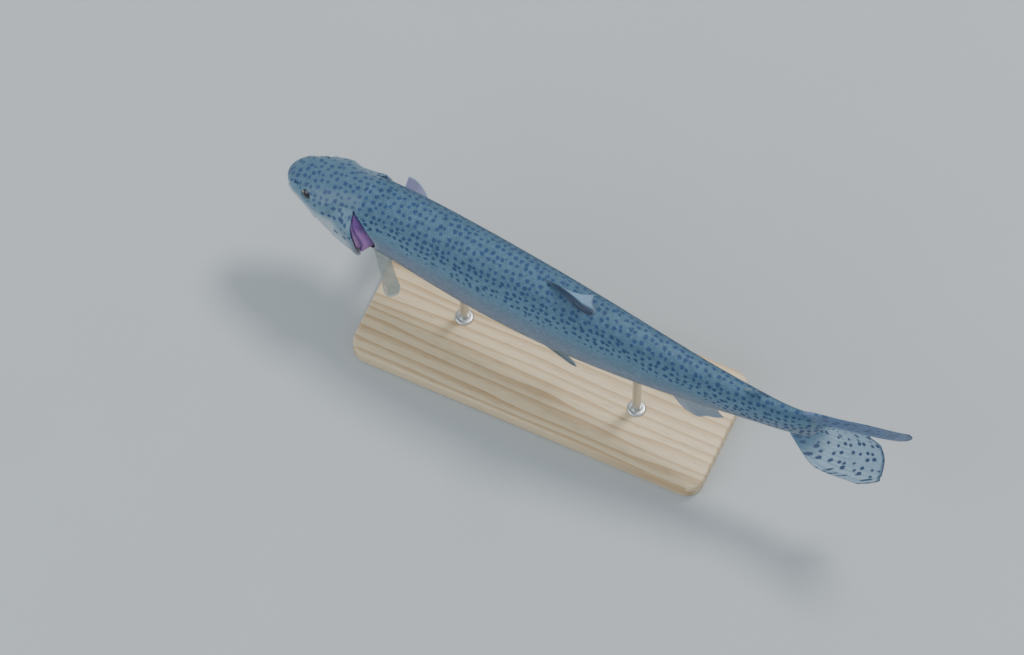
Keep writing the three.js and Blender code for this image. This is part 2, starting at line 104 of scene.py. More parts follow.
@dataclass(frozen=True)
class SmoothCurve:
    """A smooth curve through (x, y) points that never overshoots them."""

    points: tuple[tuple[float, float], ...]

    def __call__(self, x: Array) -> Array:
        """Cubic Hermite pieces whose slopes are weighted harmonic means of their neighbours'.

        Args:
            x: where to read the curve.

        Returns:
            The curve's heights there.
        """
        xs, ys = np.array(self.points, float).T
        widths = np.diff(xs)
        slopes = np.diff(ys) / widths
        tangents = np.concatenate((slopes[:1], np.zeros(len(xs) - 2), slopes[-1:]))
        for i in range(1, len(xs) - 1):
            if slopes[i - 1] * slopes[i] > 0:
                before = 2 * widths[i] + widths[i - 1]
                after = widths[i] + 2 * widths[i - 1]
                tangents[i] = (before + after) / (before / slopes[i - 1] + after / slopes[i])
        x = np.asarray(x, float)
        i = np.clip(np.searchsorted(xs, x, "right") - 1, 0, len(widths) - 1)
        t = (x - xs[i]) / widths[i]
        return (
            (2 * t**3 - 3 * t**2 + 1) * ys[i]
            + (t**3 - 2 * t**2 + t) * widths[i] * tangents[i]
            + (3 * t**2 - 2 * t**3) * ys[i + 1]
            + (t**3 - t**2) * widths[i] * tangents[i + 1]
        )


# ---------------------------------------- meshes


def mesh_piece(name: str, points: Array, corners: Array, sizes: Array) -> Piece:
    """Makes a smooth-shaded object at the origin.

    Args:
        name: the piece's name.
        points: its vertices in millimetres, one row each.
        corners: the vertex of each face corner, face after face.
        sizes: how many corners each face has.

    Returns:
        The new object, linked to the scene.
    """
    mesh = bpy.data.meshes.new(name)
    mesh.vertices.add(len(points))
    mesh.vertices.foreach_set("co", (points * MM).astype(np.float32).ravel())
    mesh.loops.add(len(corners))
    mesh.loops.foreach_set("vertex_index", corners.astype(np.int32).ravel())
    mesh.polygons.add(len(sizes))
    starts = np.concatenate(([0], np.cumsum(sizes)[:-1]))
    mesh.polygons.foreach_set("loop_start", starts.astype(np.int32))
    mesh.update(calc_edges=True)
    mesh.shade_smooth()
    piece = bpy.data.objects.new(name, mesh)
    bpy.context.scene.collection.objects.link(piece)
    return piece


def keep_values(piece: Piece, name: str, values: Array) -> None:
    """Stores one number or one vector per vertex, for the piece's material to read."""
    vector = values.ndim > 1
    kind = "FLOAT_VECTOR" if vector else "FLOAT"
    layer = piece.data.attributes.new(name, kind, "POINT")
    layer.data.foreach_set("vector" if vector else "value", values.astype(np.float32).ravel())


def keep_map(piece: Piece, places: Array) -> None:
    """Stores the bake's map, one (u, v) row per face corner."""
    layer = piece.data.uv_layers.new(name=BAKE_MAP)
    layer.data.foreach_set("uv", places.astype(np.float32).ravel())


def outward(points: Array, quads: Array) -> Array:
    """Turns all faces round where the volume under them, the sum of p0.(p1 x p2), is negative."""
    a, b, c, d = (points[quads[:, k]] for k in range(4))
    volume = (a * np.cross(b, c)).sum() + (a * np.cross(c, d)).sum()
    return quads if volume > 0 else quads[:, ::-1]


def loft_faces(rings: int, around: int) -> Array:
    """The quads of a closed skin through equal rings of points.

    Point k of a ring joins point k of the next. Each end ring is closed by a ladder of quads
    between point k and the point that faces it, around - 1 - k.

    Args:
        rings: how many rings there are.
        around: how many points each ring has, an even number.

    Returns:
        The quads: those along the rings first, then the first and the last ladder.
    """
    i, k = np.meshgrid(np.arange(rings - 1), np.arange(around), indexing="ij")
    after = (k + 1) % around
    side = [i * around + k, i * around + after, (i + 1) * around + after, (i + 1) * around + k]
    k = np.arange(around // 2 - 1)
    ladder = np.stack([k, around - 1 - k, around - 2 - k, k + 1], -1)
    last = (rings - 1) * around + ladder[:, ::-1]
    return np.concatenate((np.stack(side, -1).reshape(-1, 4), ladder, last))


def lofted(name: str, rings: Array) -> Piece:
    """Makes a closed piece from an array of rings, rings by points by xyz."""
    points = rings.reshape(-1, 3)
    quads = outward(points, loft_faces(*rings.shape[:2]))
    return mesh_piece(name, points, quads.ravel(), np.full(len(quads), 4))


def ring_normals(rings: Array) -> Array:
    """Unit normals of rings of points, the cross product of their two central differences.

    Args:
        rings: rings by points by xyz; the last point of a ring joins its first.

    Returns:
        One normal per point, whose sign follows the order of the points.
    """
    along = np.gradient(rings, axis=0)
    across = np.roll(rings, -1, axis=1) - np.roll(rings, 1, axis=1)
    return unit(np.cross(along, across))


# ---------------------------------------- materials

# Settings that many nodes share: a Mix that blends two colours, a Mix that multiplies a colour
# by a tone, and a MapRange that eases in and out.
COLOURS = {"data_type": "RGBA"}
TINT = {"data_type": "RGBA", "blend_type": "MULTIPLY"}
SMOOTH = {"interpolation_type": "SMOOTHSTEP"}


def linear(code: str) -> tuple[float, float, float, float]:
    """An sRGB hex colour such as 8FA0A4 as linear light, by the sRGB curve."""
    parts = [int(code[i : i + 2], 16) / 255 for i in (0, 2, 4)]
    red, green, blue = (
        c / 12.92 if c <= 0.04045 else ((c + 0.055) / 1.055) ** 2.4 for c in parts
    )
    return red, green, blue, 1.0


def node(tree: bpy.types.NodeTree, kind: str, inputs: dict, **settings: object) -> bpy.types.Node:
    """Adds one node with its settings, values and links.

    A Mix of colours takes its share at 0 and the two colours at 6 and 7. A MapRange takes its
    value at 0, the two limits it reads it between at 1 and 2, and the two that it gives at 3
    and 4; limits that aren't told are 0 and 1.

    Args:
        tree: the node tree it goes into.
        kind: the node's type, without the ShaderNode that all of them start with.
        inputs: what each input socket takes, by its name or number: a value, another socket,
            or another node, which stands for its first output in use.
        **settings: the node's own properties.

    Returns:
        The new node.
    """
    made = tree.nodes.new("ShaderNode" + kind)
    for name, value in settings.items():
        setattr(made, name, value)
    for key, value in inputs.items():
        if isinstance(value, bpy.types.Node):
            value = next(output for output in value.outputs if output.enabled)
        if isinstance(value, bpy.types.NodeSocket):
            tree.links.new(value, made.inputs[key])
        else:
            made.inputs[key].default_value = value
    return made


def new_material(name: str) -> tuple[Material, bpy.types.NodeTree]:
    """An empty node material and its tree."""
    material = bpy.data.materials.new(name)
    material.use_nodes = True
    material.node_tree.nodes.clear()
    return material, material.node_tree


def finish_surface(tree: bpy.types.NodeTree, inputs: dict) -> None:
    """Ends a material with a Principled shader that takes these inputs."""
    shader = node(tree, "BsdfPrincipled", inputs)
    node(tree, "OutputMaterial", {"Surface": shader.outputs["BSDF"]})


# ---------------------------------------- the fish's form


@dataclass(frozen=True)
class Eye:
    """Where an eyeball sits: along the axis, out to the side and over the axis."""

    s: float = 21.5
    out: float = 11.0
    up: float = 3.4
    radius: float = 5.5


@dataclass(frozen=True)
class TroutForm:
    """The outer form of the body: its axis, its sections and its raised gill covers.

    Attributes:
        snout: the axis's front end in the model's space.
        section_power: the power p of the oval sections; 2 would be an ellipse.
        back, belly: heights over the axis, by length along it, as half_width is.
        axis_start: the axis's first heading in degrees.
        axis_turns: the turns of that heading: start, end and angle of each.
        cheek: middle and half length along, middle and half width round, and swell.
        temple: middle, lengths ahead and behind, middle and half width round, and swell.
        gill_top: turn at which the gill slits begin.
        swing_left, swing_right: how far the covers' edges stand off.
        chamber: depth of the gill chamber at the hinge and behind it.
        cover_edge: length at which a cover ends, by turn.
        shoulder_edge: length at which the body begins behind a gill slit, by turn.
    """

    snout: tuple[float, float, float] = (-225.8, 9.4, 102.0)
    tail_root: float = 384.0
    section_power: float = 2.15
    nose_rounding: float = 12.0
    snout_level: float = -3.5
    half_width: SmoothCurve = SmoothCurve((
        (0, 11.5), (9, 13.6), (19, 16.4), (33, 19.2), (48, 20.3), (85, 20.6), (115, 21),
        (150, 20.9), (190, 19.8), (230, 17.8), (270, 14.9), (310, 11.4), (345, 8), (365, 6),
        (384, 3.6),
    ))
    back: SmoothCurve = SmoothCurve((
        (0, 5), (9, 8.6), (19, 13), (33, 18.2), (48, 22.6), (85, 33), (115, 37.8), (150, 41),
        (190, 41.6), (230, 38.4), (270, 31.2), (310, 22.8), (345, 17.4), (365, 15.6),
        (384, 16.4),
    ))
    belly: SmoothCurve = SmoothCurve((
        (0, -11), (9, -13.5), (19, -18), (33, -24), (48, -28.5), (85, -34.5), (115, -37.5),
        (150, -39.8), (190, -39), (230, -35.6), (270, -29.8), (310, -23.8), (345, -19.2),
        (365, -17.8), (384, -18.2),
    ))
    axis_start: float = -4.0
    axis_turns: tuple[tuple[float, float, float], ...] = (
        (10, 115, -4.5), (60, 150, 0.6), (110, 350, 8.5), (150, 290, -1.1), (290, 370, 0.5),
        (350, 405, 13),
    )
    axis_length: float = 470.0
    axis_step: float = 0.5
    cheek: tuple[float, float, float, float, float] = (44, 30, 117, 56, 5)
    temple: tuple[float, float, float, float, float, float] = (36, 24, 9, 62, 44, 3.2)
    gill_hinge: float = 42.0
    gill_top: float = 45.0
    swing_left: float = 8.5
    swing_right: float = 2.2
    chamber: tuple[float, float] = (3.0, 8.5)
    cover_edge: SmoothCurve = SmoothCurve((
        (45, 55.6), (55, 57), (70, 60.5), (100, 65.5), (125, 67), (150, 61), (166, 54.5),
        (180, 50),
    ))
    shoulder_edge: SmoothCurve = SmoothCurve((
        (0, 57), (44, 57), (72, 68), (98, 76), (125, 71), (155, 60), (180, 53),
    ))

    def heading(self, s: Array) -> Array:
        """The axis's direction in the level plane, in radians: its start plus its turns so far."""
        turned = sum(swing * ease(start, end, s) for start, end, swing in self.axis_turns)
        return np.radians(self.axis_start + turned)

    def place(self, s: Array, left: Array, up: Array) -> Array:
        """The point at length s along the axis, moved to the fish's left and up.

        The axis is the running sum of short steps, each in the heading of its middle.

        Args:
            s: length along the axis from the snout.
            left: distance to the fish's left.
            up: distance over the axis.

        Returns:
            Points in millimetres, with xyz along the last axis.
        """
        s, left, up = np.broadcast_arrays(np.asarray(s, float), left, up)
        starts = np.arange(0, self.axis_length, self.axis_step)
        angle = self.heading(starts + self.axis_step / 2)
        track = np.zeros((len(starts) + 1, 2))
        track[1:, 0] = np.cumsum(np.cos(angle) * self.axis_step)
        track[1:, 1] = np.cumsum(np.sin(angle) * self.axis_step)
        i = np.clip(np.floor(s / self.axis_step).astype(int), 0, len(starts) - 1)
        share = (s / self.axis_step - i)[..., None]
        level = track[i] * (1 - share) + track[i + 1] * share
        angle = self.heading(s)
        return np.stack([
            self.snout[0] + level[..., 0] + left * np.sin(angle),
            self.snout[1] + level[..., 1] - left * np.cos(angle),
            self.snout[2] + up,
        ], -1)

    def direction(self, s: float, tailward: float, left: float, up: float) -> Array:
        """A unit direction given by its tailward, left and up shares at length s."""
        angle = self.heading(np.asarray(s, float))
        x = tailward * np.cos(angle) + left * np.sin(angle)
        y = tailward * np.sin(angle) - left * np.cos(angle)
        return unit(np.array([float(x), float(y), up]))

    def section(self, s: Array, v: Array, proud: float = 0.0) -> tuple[Array, Array]:
        """How far out and up from the axis the surface lies.

        Each section is an oval |x/a|^p + |y/b|^p = 1 with p a little over 2. The snout closes
        as a dome, and a broad bell on each cheek makes room for the gills.

        Args:
            s: length along the axis.
            v: turn in degrees from the back.
            proud: how much larger the oval is all round.

        Returns:
            The distances out to the side and up.
        """
        dome = np.sqrt(1 - (1 - np.clip(s / self.nose_rounding, 0, 1)) ** 2)
        half = self.half_width(s) * dome + proud
        top = mix(self.snout_level, self.back(s), dome) + proud
        bottom = mix(self.snout_level, self.belly(s), dome) - proud
        sine, cosine = np.sin(np.radians(v)), np.cos(np.radians(v))
        power = 2 / self.section_power
        length, reach, turn, spread, swell = self.cheek
        bulge = swell * ease(reach, 0, np.abs(s - length)) * ease(spread, 0, np.abs(v - turn))
        length, before, behind, turn, spread, swell = self.temple
        ridge = ease(length - before, length, s) * ease(length + behind, length, s)
        bulge = bulge + swell * ridge * ease(spread, 0, np.abs(v - turn))
        out = half * np.sign(sine) * np.abs(sine) ** power + bulge
        up = (top + bottom) / 2 + (top - bottom) / 2 * np.sign(cosine) * np.abs(cosine) ** power
        return out, up

    def cover_lift(self, s: Array, v: Array, side: Array) -> Array:
        """How far the raised gill cover stands off the body: a hinge that opens tailward."""
        swing = np.where(side > 0, self.swing_left, self.swing_right)
        edge = self.cover_edge(np.clip(v, self.gill_top, 180))
        along = np.clip((s - self.gill_hinge) / (edge - self.gill_hinge), 0, 1)
        low = (1 - 0.4 * ease(128, 175, v)) * ease(180, 154, v)
        return swing * along**1.2 * ease(self.gill_top, 70, v) * low

    def chamber_depth(self, s: Array) -> Array:
        """How deep the gill chamber's floor lies under the body's surface."""
        return mix(*self.chamber, ease(self.gill_hinge, 56, s))


@dataclass(frozen=True)
class Unrolled:
    """The skin laid flat: x along the body and g round it from the back, both in millimetres.

    Attributes:
        inset: how far the skin lies inside it.
        length: how far along the axis the tables go.
    """

    form: TroutForm
    inset: float
    length: int = 392

    def __post_init__(self) -> None:
        """Fills the tables: girths by turn, turns by share of the girth, and lengths along.

        Their rows are a millimetre of the axis apart and the girths' columns a degree.
        """
        s = np.arange(self.length + 1.0)
        v = np.arange(181.0)
        out, up = self.form.section(s[:, None], v[None, :], -self.inset)
        steps = np.hypot(np.diff(out, axis=1), np.diff(up, axis=1))
        girth = np.concatenate((np.zeros((len(s), 1)), np.cumsum(steps, axis=1)), axis=1)
        girth = np.maximum(girth, 1e-3 * v)
        shares = np.linspace(0, 1, 241)
        turns = np.stack([np.interp(shares * row[-1], row, v) for row in girth])
        mean = (out[:, 90] + (up[:, 0] - up[:, 180]) / 2) / 2
        run = np.concatenate(([0], np.cumsum(np.hypot(1, np.diff(mean)))))
        for name, table in (("girth", girth), ("turns", turns), ("run", run)):
            object.__setattr__(self, name, table)

    def along(self, s: Array) -> Array:
        """Length over the surface from the snout, which grows faster than s on its dome."""
        return np.interp(s, np.arange(self.length + 1.0), self.run)

    def round_to(self, s: Array, v: Array) -> Array:
        """Distance round the body from the back to the turn v."""
        return sample(self.girth, s, v)

    def half_girth(self, s: Array) -> Array:
        """Distance round the body from the back to the belly."""
        return np.interp(s, np.arange(self.length + 1.0), self.girth[:, -1])

    def turn_at(self, s: Array, g: Array) -> tuple[Array, Array]:
        """The turn and side at distance g round from the back.

        Args:
            s: length along the axis.
            g: distance round, positive on the left; past the midlines it goes on.

        Returns:
            The turn v in degrees and the side, +1 or -1.
        """
        half = self.half_girth(s)
        wrapped = (g + half) % (2 * half) - half
        share = np.abs(wrapped) / half
        v = sample(self.turns, s, share * (self.turns.shape[1] - 1))
        return v, np.where(wrapped >= 0, 1.0, -1.0)


# ---------------------------------------- markings


@dataclass(frozen=True)
class Dab:
    """One dark mark on the head: its place, its half width and how much longer than wide it is."""

    s: float
    v: float
    radius: float
    stretch: float = 1.0


@dataclass(frozen=True)
class Markings:
    """The trout's colours: a dark spotted back, a rosy grey flank and a pale cheek and belly.

    Attributes:
        spacing: distance between spots, in millimetres.
        radii: smallest and largest spot radius as shares of the spacing.
        speck_radii: the same for the finer specks; a cell that draws less than 0 has none.
        scatter: how far the cells' middles stray from an even grid, from 0 to 1.
        wander: how far a cloud pattern pushes the spots about, in millimetres.
    """

    back: str = "53748D"
    side: str = "6E91A7"
    flank: str = "92A3B6"
    belly: str = "C4CDD2"
    cheek: str = "B4C3CC"
    rose: str = "A08494"
    spot: str = "33507A"
    spacing: float = 4.9
    radii: tuple[float, float] = (0.24, 0.34)
    speck_spacing: float = 4.3
    speck_radii: tuple[float, float] = (-0.4, 0.15)
    scatter: float = 0.56
    wander: float = 2.4
    dabs: tuple[Dab, ...] = (
        Dab(29.5, 66, 1.3), Dab(36.5, 72, 1.5), Dab(41.5, 74, 1.4), Dab(45.5, 72, 1.6),
        Dab(50.5, 64, 1.6), Dab(49.0, 92, 1.1, 2.0), Dab(57.0, 88, 1.5, 1.3),
        Dab(53.0, 78, 1.1),
    )

    def regions(self, s: Array, v: Array) -> Array:
        """How spotted, how pale and how rosy the fish is at a place.

        Each is a product of smooth steps in s and v. Spots end at the lateral line and reach
        lower on the tail stalk; the cheek and belly are pale; the flank's band is rosy.

        Args:
            s: length along the axis.
            v: turn from the back.

        Returns:
            The three shares, from 0 to 1, along the last axis.
        """
        wobble = 3.0 * np.sin(s / 7.3) + 2.0 * np.sin(s / 3.1 + 1.0)
        low = 72 + 7 * ease(78, 56, s) + 62 * ease(285, 375, s) + 60 * ease(372, 384, s) + wobble
        low = low - 16 * ease(64, 40, s) - 6 * ease(30, 14, s)
        spotted = ease(1, -1, (v - low) / 8)
        cheek = ease(68, 56, s) * ease(76, 96, v + 5 * np.sin(s / 5) - 10 * ease(34, 18, s))
        pale = np.maximum(cheek, ease(108, 138, v + wobble / 2) * ease(384, 350, s))
        band = ease(70, 88, v) * ease(124, 104, v)
        rosy = 0.22 * band * mix(0.4, 1.0, ease(330, 120, s)) * ease(56, 74, s)
        rosy = np.maximum(rosy, 0.25 * ease(46, 60, s) * ease(70, 62, s) * band)
        return np.stack([spotted, pale, rosy], -1)

    def dabbed(self, s: Array, along: Array, g: Array, sheet: Unrolled) -> Array:
        """How dark the head's own marks make a place: soft-edged ovals on the unrolled skin."""
        dark = np.zeros_like(s)
        for dab in self.dabs:
            x = along - sheet.along(np.array(dab.s))
            y = np.abs(g) - sheet.round_to(np.array(dab.s), np.array(dab.v))
            far = np.hypot(x / dab.stretch, y)
            dark = np.maximum(dark, ease(dab.radius + 0.35, dab.radius - 0.35, far))
        return dark

    def colour(self, tree: bpy.types.NodeTree) -> bpy.types.Node:
        """Adds the nodes that paint the markings.

        Spots are the middles of the cells of a random cell pattern on the unrolled skin, in
        millimetres, with a radius that each cell draws for itself, and finer specks lie between.

        Args:
            tree: the material's tree.

        Returns:
            The node that gives the colour.
        """
        lie = node(tree, "Attribute", {}, attribute_name="lie").outputs["Vector"]
        turn = node(tree, "SeparateXYZ", {0: lie}).outputs[2]
        region = node(tree, "Attribute", {}, attribute_name="region").outputs["Vector"]
        spotted, palest, rosiest = node(tree, "SeparateXYZ", {0: region}).outputs
        wander = node(tree, "TexNoise", {"Vector": lie, "Scale": 0.32, "Detail": 2.0})
        shift = node(tree, "VectorMath", {
            0: wander.outputs["Color"], 1: (0.5, 0.5, 0.5),
        }, operation="SUBTRACT")
        bent = node(tree, "VectorMath", {
            0: shift, 1: (self.wander, self.wander, 0.0), 2: lie,
        }, operation="MULTIPLY_ADD")
        masks = []
        for spacing, radii, fade in (
            (self.spacing, self.radii, 0.0),
            (self.speck_spacing, self.speck_radii, 0.12),
        ):
            cells = node(tree, "TexVoronoi", {
                "Vector": bent, "Scale": 1 / spacing, "Randomness": self.scatter,
            }, voronoi_dimensions="2D")
            chance = node(tree, "SeparateColor", {0: cells.outputs["Color"]})
            radius = node(tree, "MapRange", {0: chance, 3: radii[0], 4: radii[1]})
            eased = node(tree, "Math", {
                0: spotted, 1: 1.0 + fade, 2: -fade,
            }, operation="MULTIPLY_ADD")
            reach = node(tree, "Math", {0: radius, 1: eased}, operation="MULTIPLY")
            inside = node(tree, "Math", {0: reach, 1: cells}, operation="SUBTRACT")
            masks.append(node(tree, "MapRange", {0: inside, 1: -0.06, 2: 0.07}, **SMOOTH))
        either = node(tree, "Math", {0: masks[0], 1: masks[1]}, operation="MAXIMUM")
        dab = node(tree, "Attribute", {}, attribute_name="dab")
        dark = node(tree, "Math", {0: either, 1: dab.outputs["Fac"]}, operation="MAXIMUM")
        cloud = node(tree, "TexNoise", {"Vector": lie, "Scale": 0.11, "Detail": 3.0})
        level = node(tree, "Math", {0: cloud, 1: 22.0, 2: turn}, operation="MULTIPLY_ADD")
        upper = node(tree, "MapRange", {0: level, 1: 38.0, 2: 92.0}, **SMOOTH)
        lower = node(tree, "MapRange", {0: level, 1: 92.0, 2: 122.0}, **SMOOTH)
        ground = node(tree, "Mix", {
            0: upper, 6: linear(self.back), 7: linear(self.side),
        }, **COLOURS)
        ground = node(tree, "Mix", {0: lower, 6: ground, 7: linear(self.flank)}, **COLOURS)
        rosy = node(tree, "Mix", {0: rosiest, 6: ground, 7: linear(self.rose)}, **COLOURS)
        under = node(tree, "MapRange", {0: turn, 1: 108.0, 2: 135.0})
        light = node(tree, "Mix", {
            0: under, 6: linear(self.cheek), 7: linear(self.belly),
        }, **COLOURS)
        pale = node(tree, "Mix", {0: palest, 6: rosy, 7: light}, **COLOURS)
        return node(tree, "Mix", {0: dark, 6: pale, 7: linear(self.spot)}, **COLOURS)


MARKINGS = Markings()


@dataclass(frozen=True)
class WetSkin:
    """Trout skin under its slime: matt pigment with a thin wet gloss and a fine pebbled grain.

    Attributes:
        grain: size of the pebbled grain in millimetres.
        mottle: size of the lighter and darker patches.
    """

    markings: Markings
    grain: float = 0.6
    mottle: float = 2.6

    def material(self) -> Material:
        """The skin's material; the slime shows as a weak, slightly rough clear coat."""
        material, tree = new_material("Trout skin, wet with slime")
        colour = self.markings.colour(tree)
        place = node(tree, "TexCoord", {}).outputs["Object"]
        pebble = node(tree, "TexNoise", {
            "Vector": place, "Scale": 1 / (self.grain * MM), "Detail": 3.0,
        })
        mottle = node(tree, "TexNoise", {
            "Vector": place, "Scale": 1 / (self.mottle * MM), "Detail": 2.0,
        })
        shade = node(tree, "MapRange", {0: mottle, 3: 0.62, 4: 0.94})
        toned = node(tree, "Mix", {0: 1.0, 6: colour, 7: shade}, **TINT)
        bump = node(tree, "Bump", {"Height": pebble, "Strength": 0.35, "Distance": 0.12 * MM})
        rough = node(tree, "MapRange", {0: mottle, 3: 0.36, 4: 0.52})
        finish_surface(tree, {
            "Base Color": toned, "Roughness": rough, "Normal": bump, "IOR": 1.38,
            "Coat Weight": 0.25, "Coat Roughness": 0.22,
        })
        return material


@dataclass(frozen=True)
class ScaleFinish:
    """Trout scales: thin horn over pigment, silvery on the flank, darker at the rear rim."""

    markings: Markings

    def material(self) -> Material:
        """The scales' material: the skin's markings with a tone of its own for each scale."""
        material, tree = new_material("Trout scales, thin horn over pigment")
        colour = self.markings.colour(tree)
        tone = node(tree, "Attribute", {}, attribute_name="tone").outputs["Vector"]
        chance, along, _ = node(tree, "SeparateXYZ", {0: tone}).outputs
        shade = node(tree, "MapRange", {0: chance, 3: 0.86, 4: 1.14})
        rim = node(tree, "MapRange", {0: along, 1: 0.55, 2: 1.0, 3: 1.0, 4: 0.8})
        both = node(tree, "Math", {0: shade, 1: rim}, operation="MULTIPLY")
        toned = node(tree, "Mix", {0: 1.0, 6: colour, 7: both}, **TINT)
        region = node(tree, "Attribute", {}, attribute_name="region").outputs["Vector"]
        spotted = node(tree, "SeparateXYZ", {0: region}).outputs[0]
        silver = node(tree, "MapRange", {0: spotted, 3: 0.22, 4: 0.04})
        rough = node(tree, "MapRange", {0: chance, 3: 0.58, 4: 0.72})
        finish_surface(tree, {
            "Base Color": toned, "Metallic": silver, "Roughness": rough, "IOR": 1.4,
            "Coat Weight": 0.06, "Coat Roughness": 0.35,
        })
        return material


# ---------------------------------------- the skin


@dataclass(frozen=True)
class HeadRelief:
    """The folds and openings of the head, as heights over the plain form in millimetres.

    Attributes:
        nostrils: length, turn and radius of the two pits of a side.
        mouth_turn: turn of the mouth line at the snout.
        mouth_drop: how much lower it lies at its corner.
        mouth_corner: length along the axis of that corner.
    """

    form: TroutForm
    sheet: Unrolled
    eye: Eye = Eye()
    nostrils: tuple[tuple[float, float, float], ...] = ((9.6, 50, 0.75), (11.9, 51, 0.9))
    mouth_turn: float = 108.0
    mouth_drop: float = 12.0
    mouth_corner: float = 30.0

    def eye_axis(self, side: float, rise: float = 0.2) -> tuple[Array, Array]:
        """An eye's middle and the way it faces, with the socket's rise unless another is told."""
        middle = self.form.place(self.eye.s, side * self.eye.out, self.eye.up)
        return middle, self.form.direction(self.eye.s, -0.1, 0.95 * side, rise)

    def about_eye(self, side: float, points: Array) -> tuple[Array, Array, Array]:
        """Where places lie about an eye's axis.

        Args:
            side: +1 or -1.
            points: the places.

        Returns:
            Their offset square to the axis, its length, and how far they lie along the axis.
        """
        middle, axis = self.eye_axis(side)
        away = points - middle
        ahead = away @ axis
        level = away - ahead[..., None] * axis
        return level, np.linalg.norm(level, axis=-1), ahead

    def bar(self, x: Array, y: Array, start: tuple, end: tuple, radii: tuple) -> Array:
        """Distance to the edge of a bar that widens from one end to the other.

        The nearest point of its middle line is the clamped foot of the perpendicular.

        Args:
            x: places along.
            y: places across.
            start: its first end.
            end: its other end.
            radii: its half widths at the two ends.

        Returns:
            The distance, negative inside.
        """
        dx, dy = end[0] - start[0], end[1] - start[1]
        t = np.clip(((x - start[0]) * dx + (y - start[1]) * dy) / (dx * dx + dy * dy), 0, 1)
        far = np.hypot(x - start[0] - t * dx, y - start[1] - t * dy)
        return far - mix(radii[0], radii[1], t)

    def mouth(self, s: Array, g: Array) -> Array:
        """The mouth's slot, the upper jaw bone over it and the lower jaw's edge.

        The slot is a bell-shaped groove along the mouth line. The upper jaw bone is a raised
        bar that widens to its round end under the eye, with a fold above it.
        """
        line = self.mouth_turn + self.mouth_drop * np.clip(s / self.mouth_corner, 0, 1)
        y = g - self.sheet.round_to(s, line)
        slot = -1.8 * bell(y, 0.6) * ease(31.5, 29.5, s)
        bone = self.bar(s, y, (5.5, -1.6), (28.6, -2.7), (1.0, 2.3))
        raised = 0.7 * ease(0.25, -0.5, bone) - 0.7 * bell(bone - 0.35, 0.45)
        lip = -0.5 * ease(0.2, 0.9, y) * ease(4.2, 1.5, y) * ease(30, 24, s)
        chin = 0.45 * bell(y - 5.0, 2.4) * ease(30, 12, s)
        return slot + raised * ease(2, 6, s) + lip + chin

    def jaw_and_throat(self, s: Array, v: Array, g: Array) -> Array:
        """The groove under the lower jaw bone, and the rays of the throat's membrane behind it."""
        jaw = -0.55 * bell(g - self.sheet.round_to(s, 151 - 8 * ease(6, 40, s)), 0.5)
        jaw = jaw * ease(5, 10, s) * ease(44, 36, s)
        fan = (v - 132 - 0.35 * (s - 44)) / 5.4
        rays = -0.32 * (0.5 + 0.5 * np.cos(2 * np.pi * fan)) ** 2
        return jaw + rays * ease(40, 46, s) * ease(134, 140, v) * ease(176, 168, v)

    def cover_plates(self, s: Array, v: Array) -> Array:
        """The bones of the cheek and gill cover: stepped edges with a groove along each."""
        bend = 41.0 + 3.0 * ease(70, 100, v) - 7.0 * ease(118, 142, v)
        front = s - bend
        cheek = (0.45 * ease(-1.2, 0.2, front) - 0.7 * bell(front, 0.45)) * ease(56, 64, v)
        cheek = cheek * ease(148, 138, v)
        seam = v - mix(108.0, 128.0, ease(44, 66, s))
        across = -0.6 * bell(seam, 1.3) * ease(43, 46, s)
        rim = self.form.cover_edge(np.clip(v, self.form.gill_top, 180)) - s
        margin = 0.3 * bell(rim - 1.6, 0.9) * ease(56, 64, v) * ease(2, 8, s)
        folds = 0.1 * np.sin(1.9 * v + 0.8 * np.sin(s / 2)) * ease(48, 60, s) * ease(70, 84, v)
        return cheek + (across + margin + folds * ease(140, 122, v)) * ease(0, 0.5, rim)

    def cheek_bones(self, s: Array, points: Array, side: Array) -> Array:
        """The ring of thin bones round the eye: faint grooves on circles and spokes round it."""
        height = np.zeros_like(s)
        for this in (1.0, -1.0):
            level, far, _ = self.about_eye(this, points)
            ring = -0.36 * bell(far - 10.6, 0.5) - 0.16 * bell(far - 8.4, 0.4)
            spoke = np.arctan2(level[..., 2], level[..., 0])
            spokes = -0.2 * (0.5 + 0.5 * np.cos(5 * spoke)) ** 12
            spokes = spokes * ease(7.4, 8.6, far) * ease(11, 10, far)
            below = ease(2.0, -3.0, level[..., 2])
            height += np.where(side == this, (ring + spokes) * below, 0.0)
        return height

    def socket(self, points: Array, side: Array) -> Array:
        """The eye's soft rim: a round ridge with the skin let in under the eyeball inside it."""
        height = np.zeros(points.shape[:2])
        for this in (1.0, -1.0):
            _, far, ahead = self.about_eye(this, points)
            rim = 0.55 * bell(far - 4.9, 0.8) - 2.2 * ease(4.4, 3.5, far)
            height += np.where((side == this) & (ahead > 0), rim, 0.0)
        return height

    def nose(self, s: Array, g: Array) -> Array:
        """Two nostrils a side: small pits with raised rims and a flap of skin between them."""
        height = np.zeros_like(s)
        for at, turn, radius in self.nostrils:
            x = self.sheet.along(s) - self.sheet.along(np.array(at))
            far = np.hypot(x, g - self.sheet.round_to(np.array(at), np.array(turn)))
            height += 0.3 * bell(far - 1.45 * radius, 0.35) - 1.5 * bell(far, radius)
        return height

    def crown(self, s: Array, g: Array) -> Array:
        """The skull's ridge on the midline, a hollow beside it and a brow over each eye."""
        middle = 0.35 * bell(g, 1.6) * ease(8, 18, s) * ease(60, 48, s)
        hollow = -0.35 * bell(g - 5.0, 1.9) * ease(12, 20, s) * ease(50, 36, s)
        brow = 0.4 * bell(g - self.sheet.round_to(s, 38), 1.8) * ease(13, 18, s)
        return middle + hollow + brow * ease(32, 26, s)

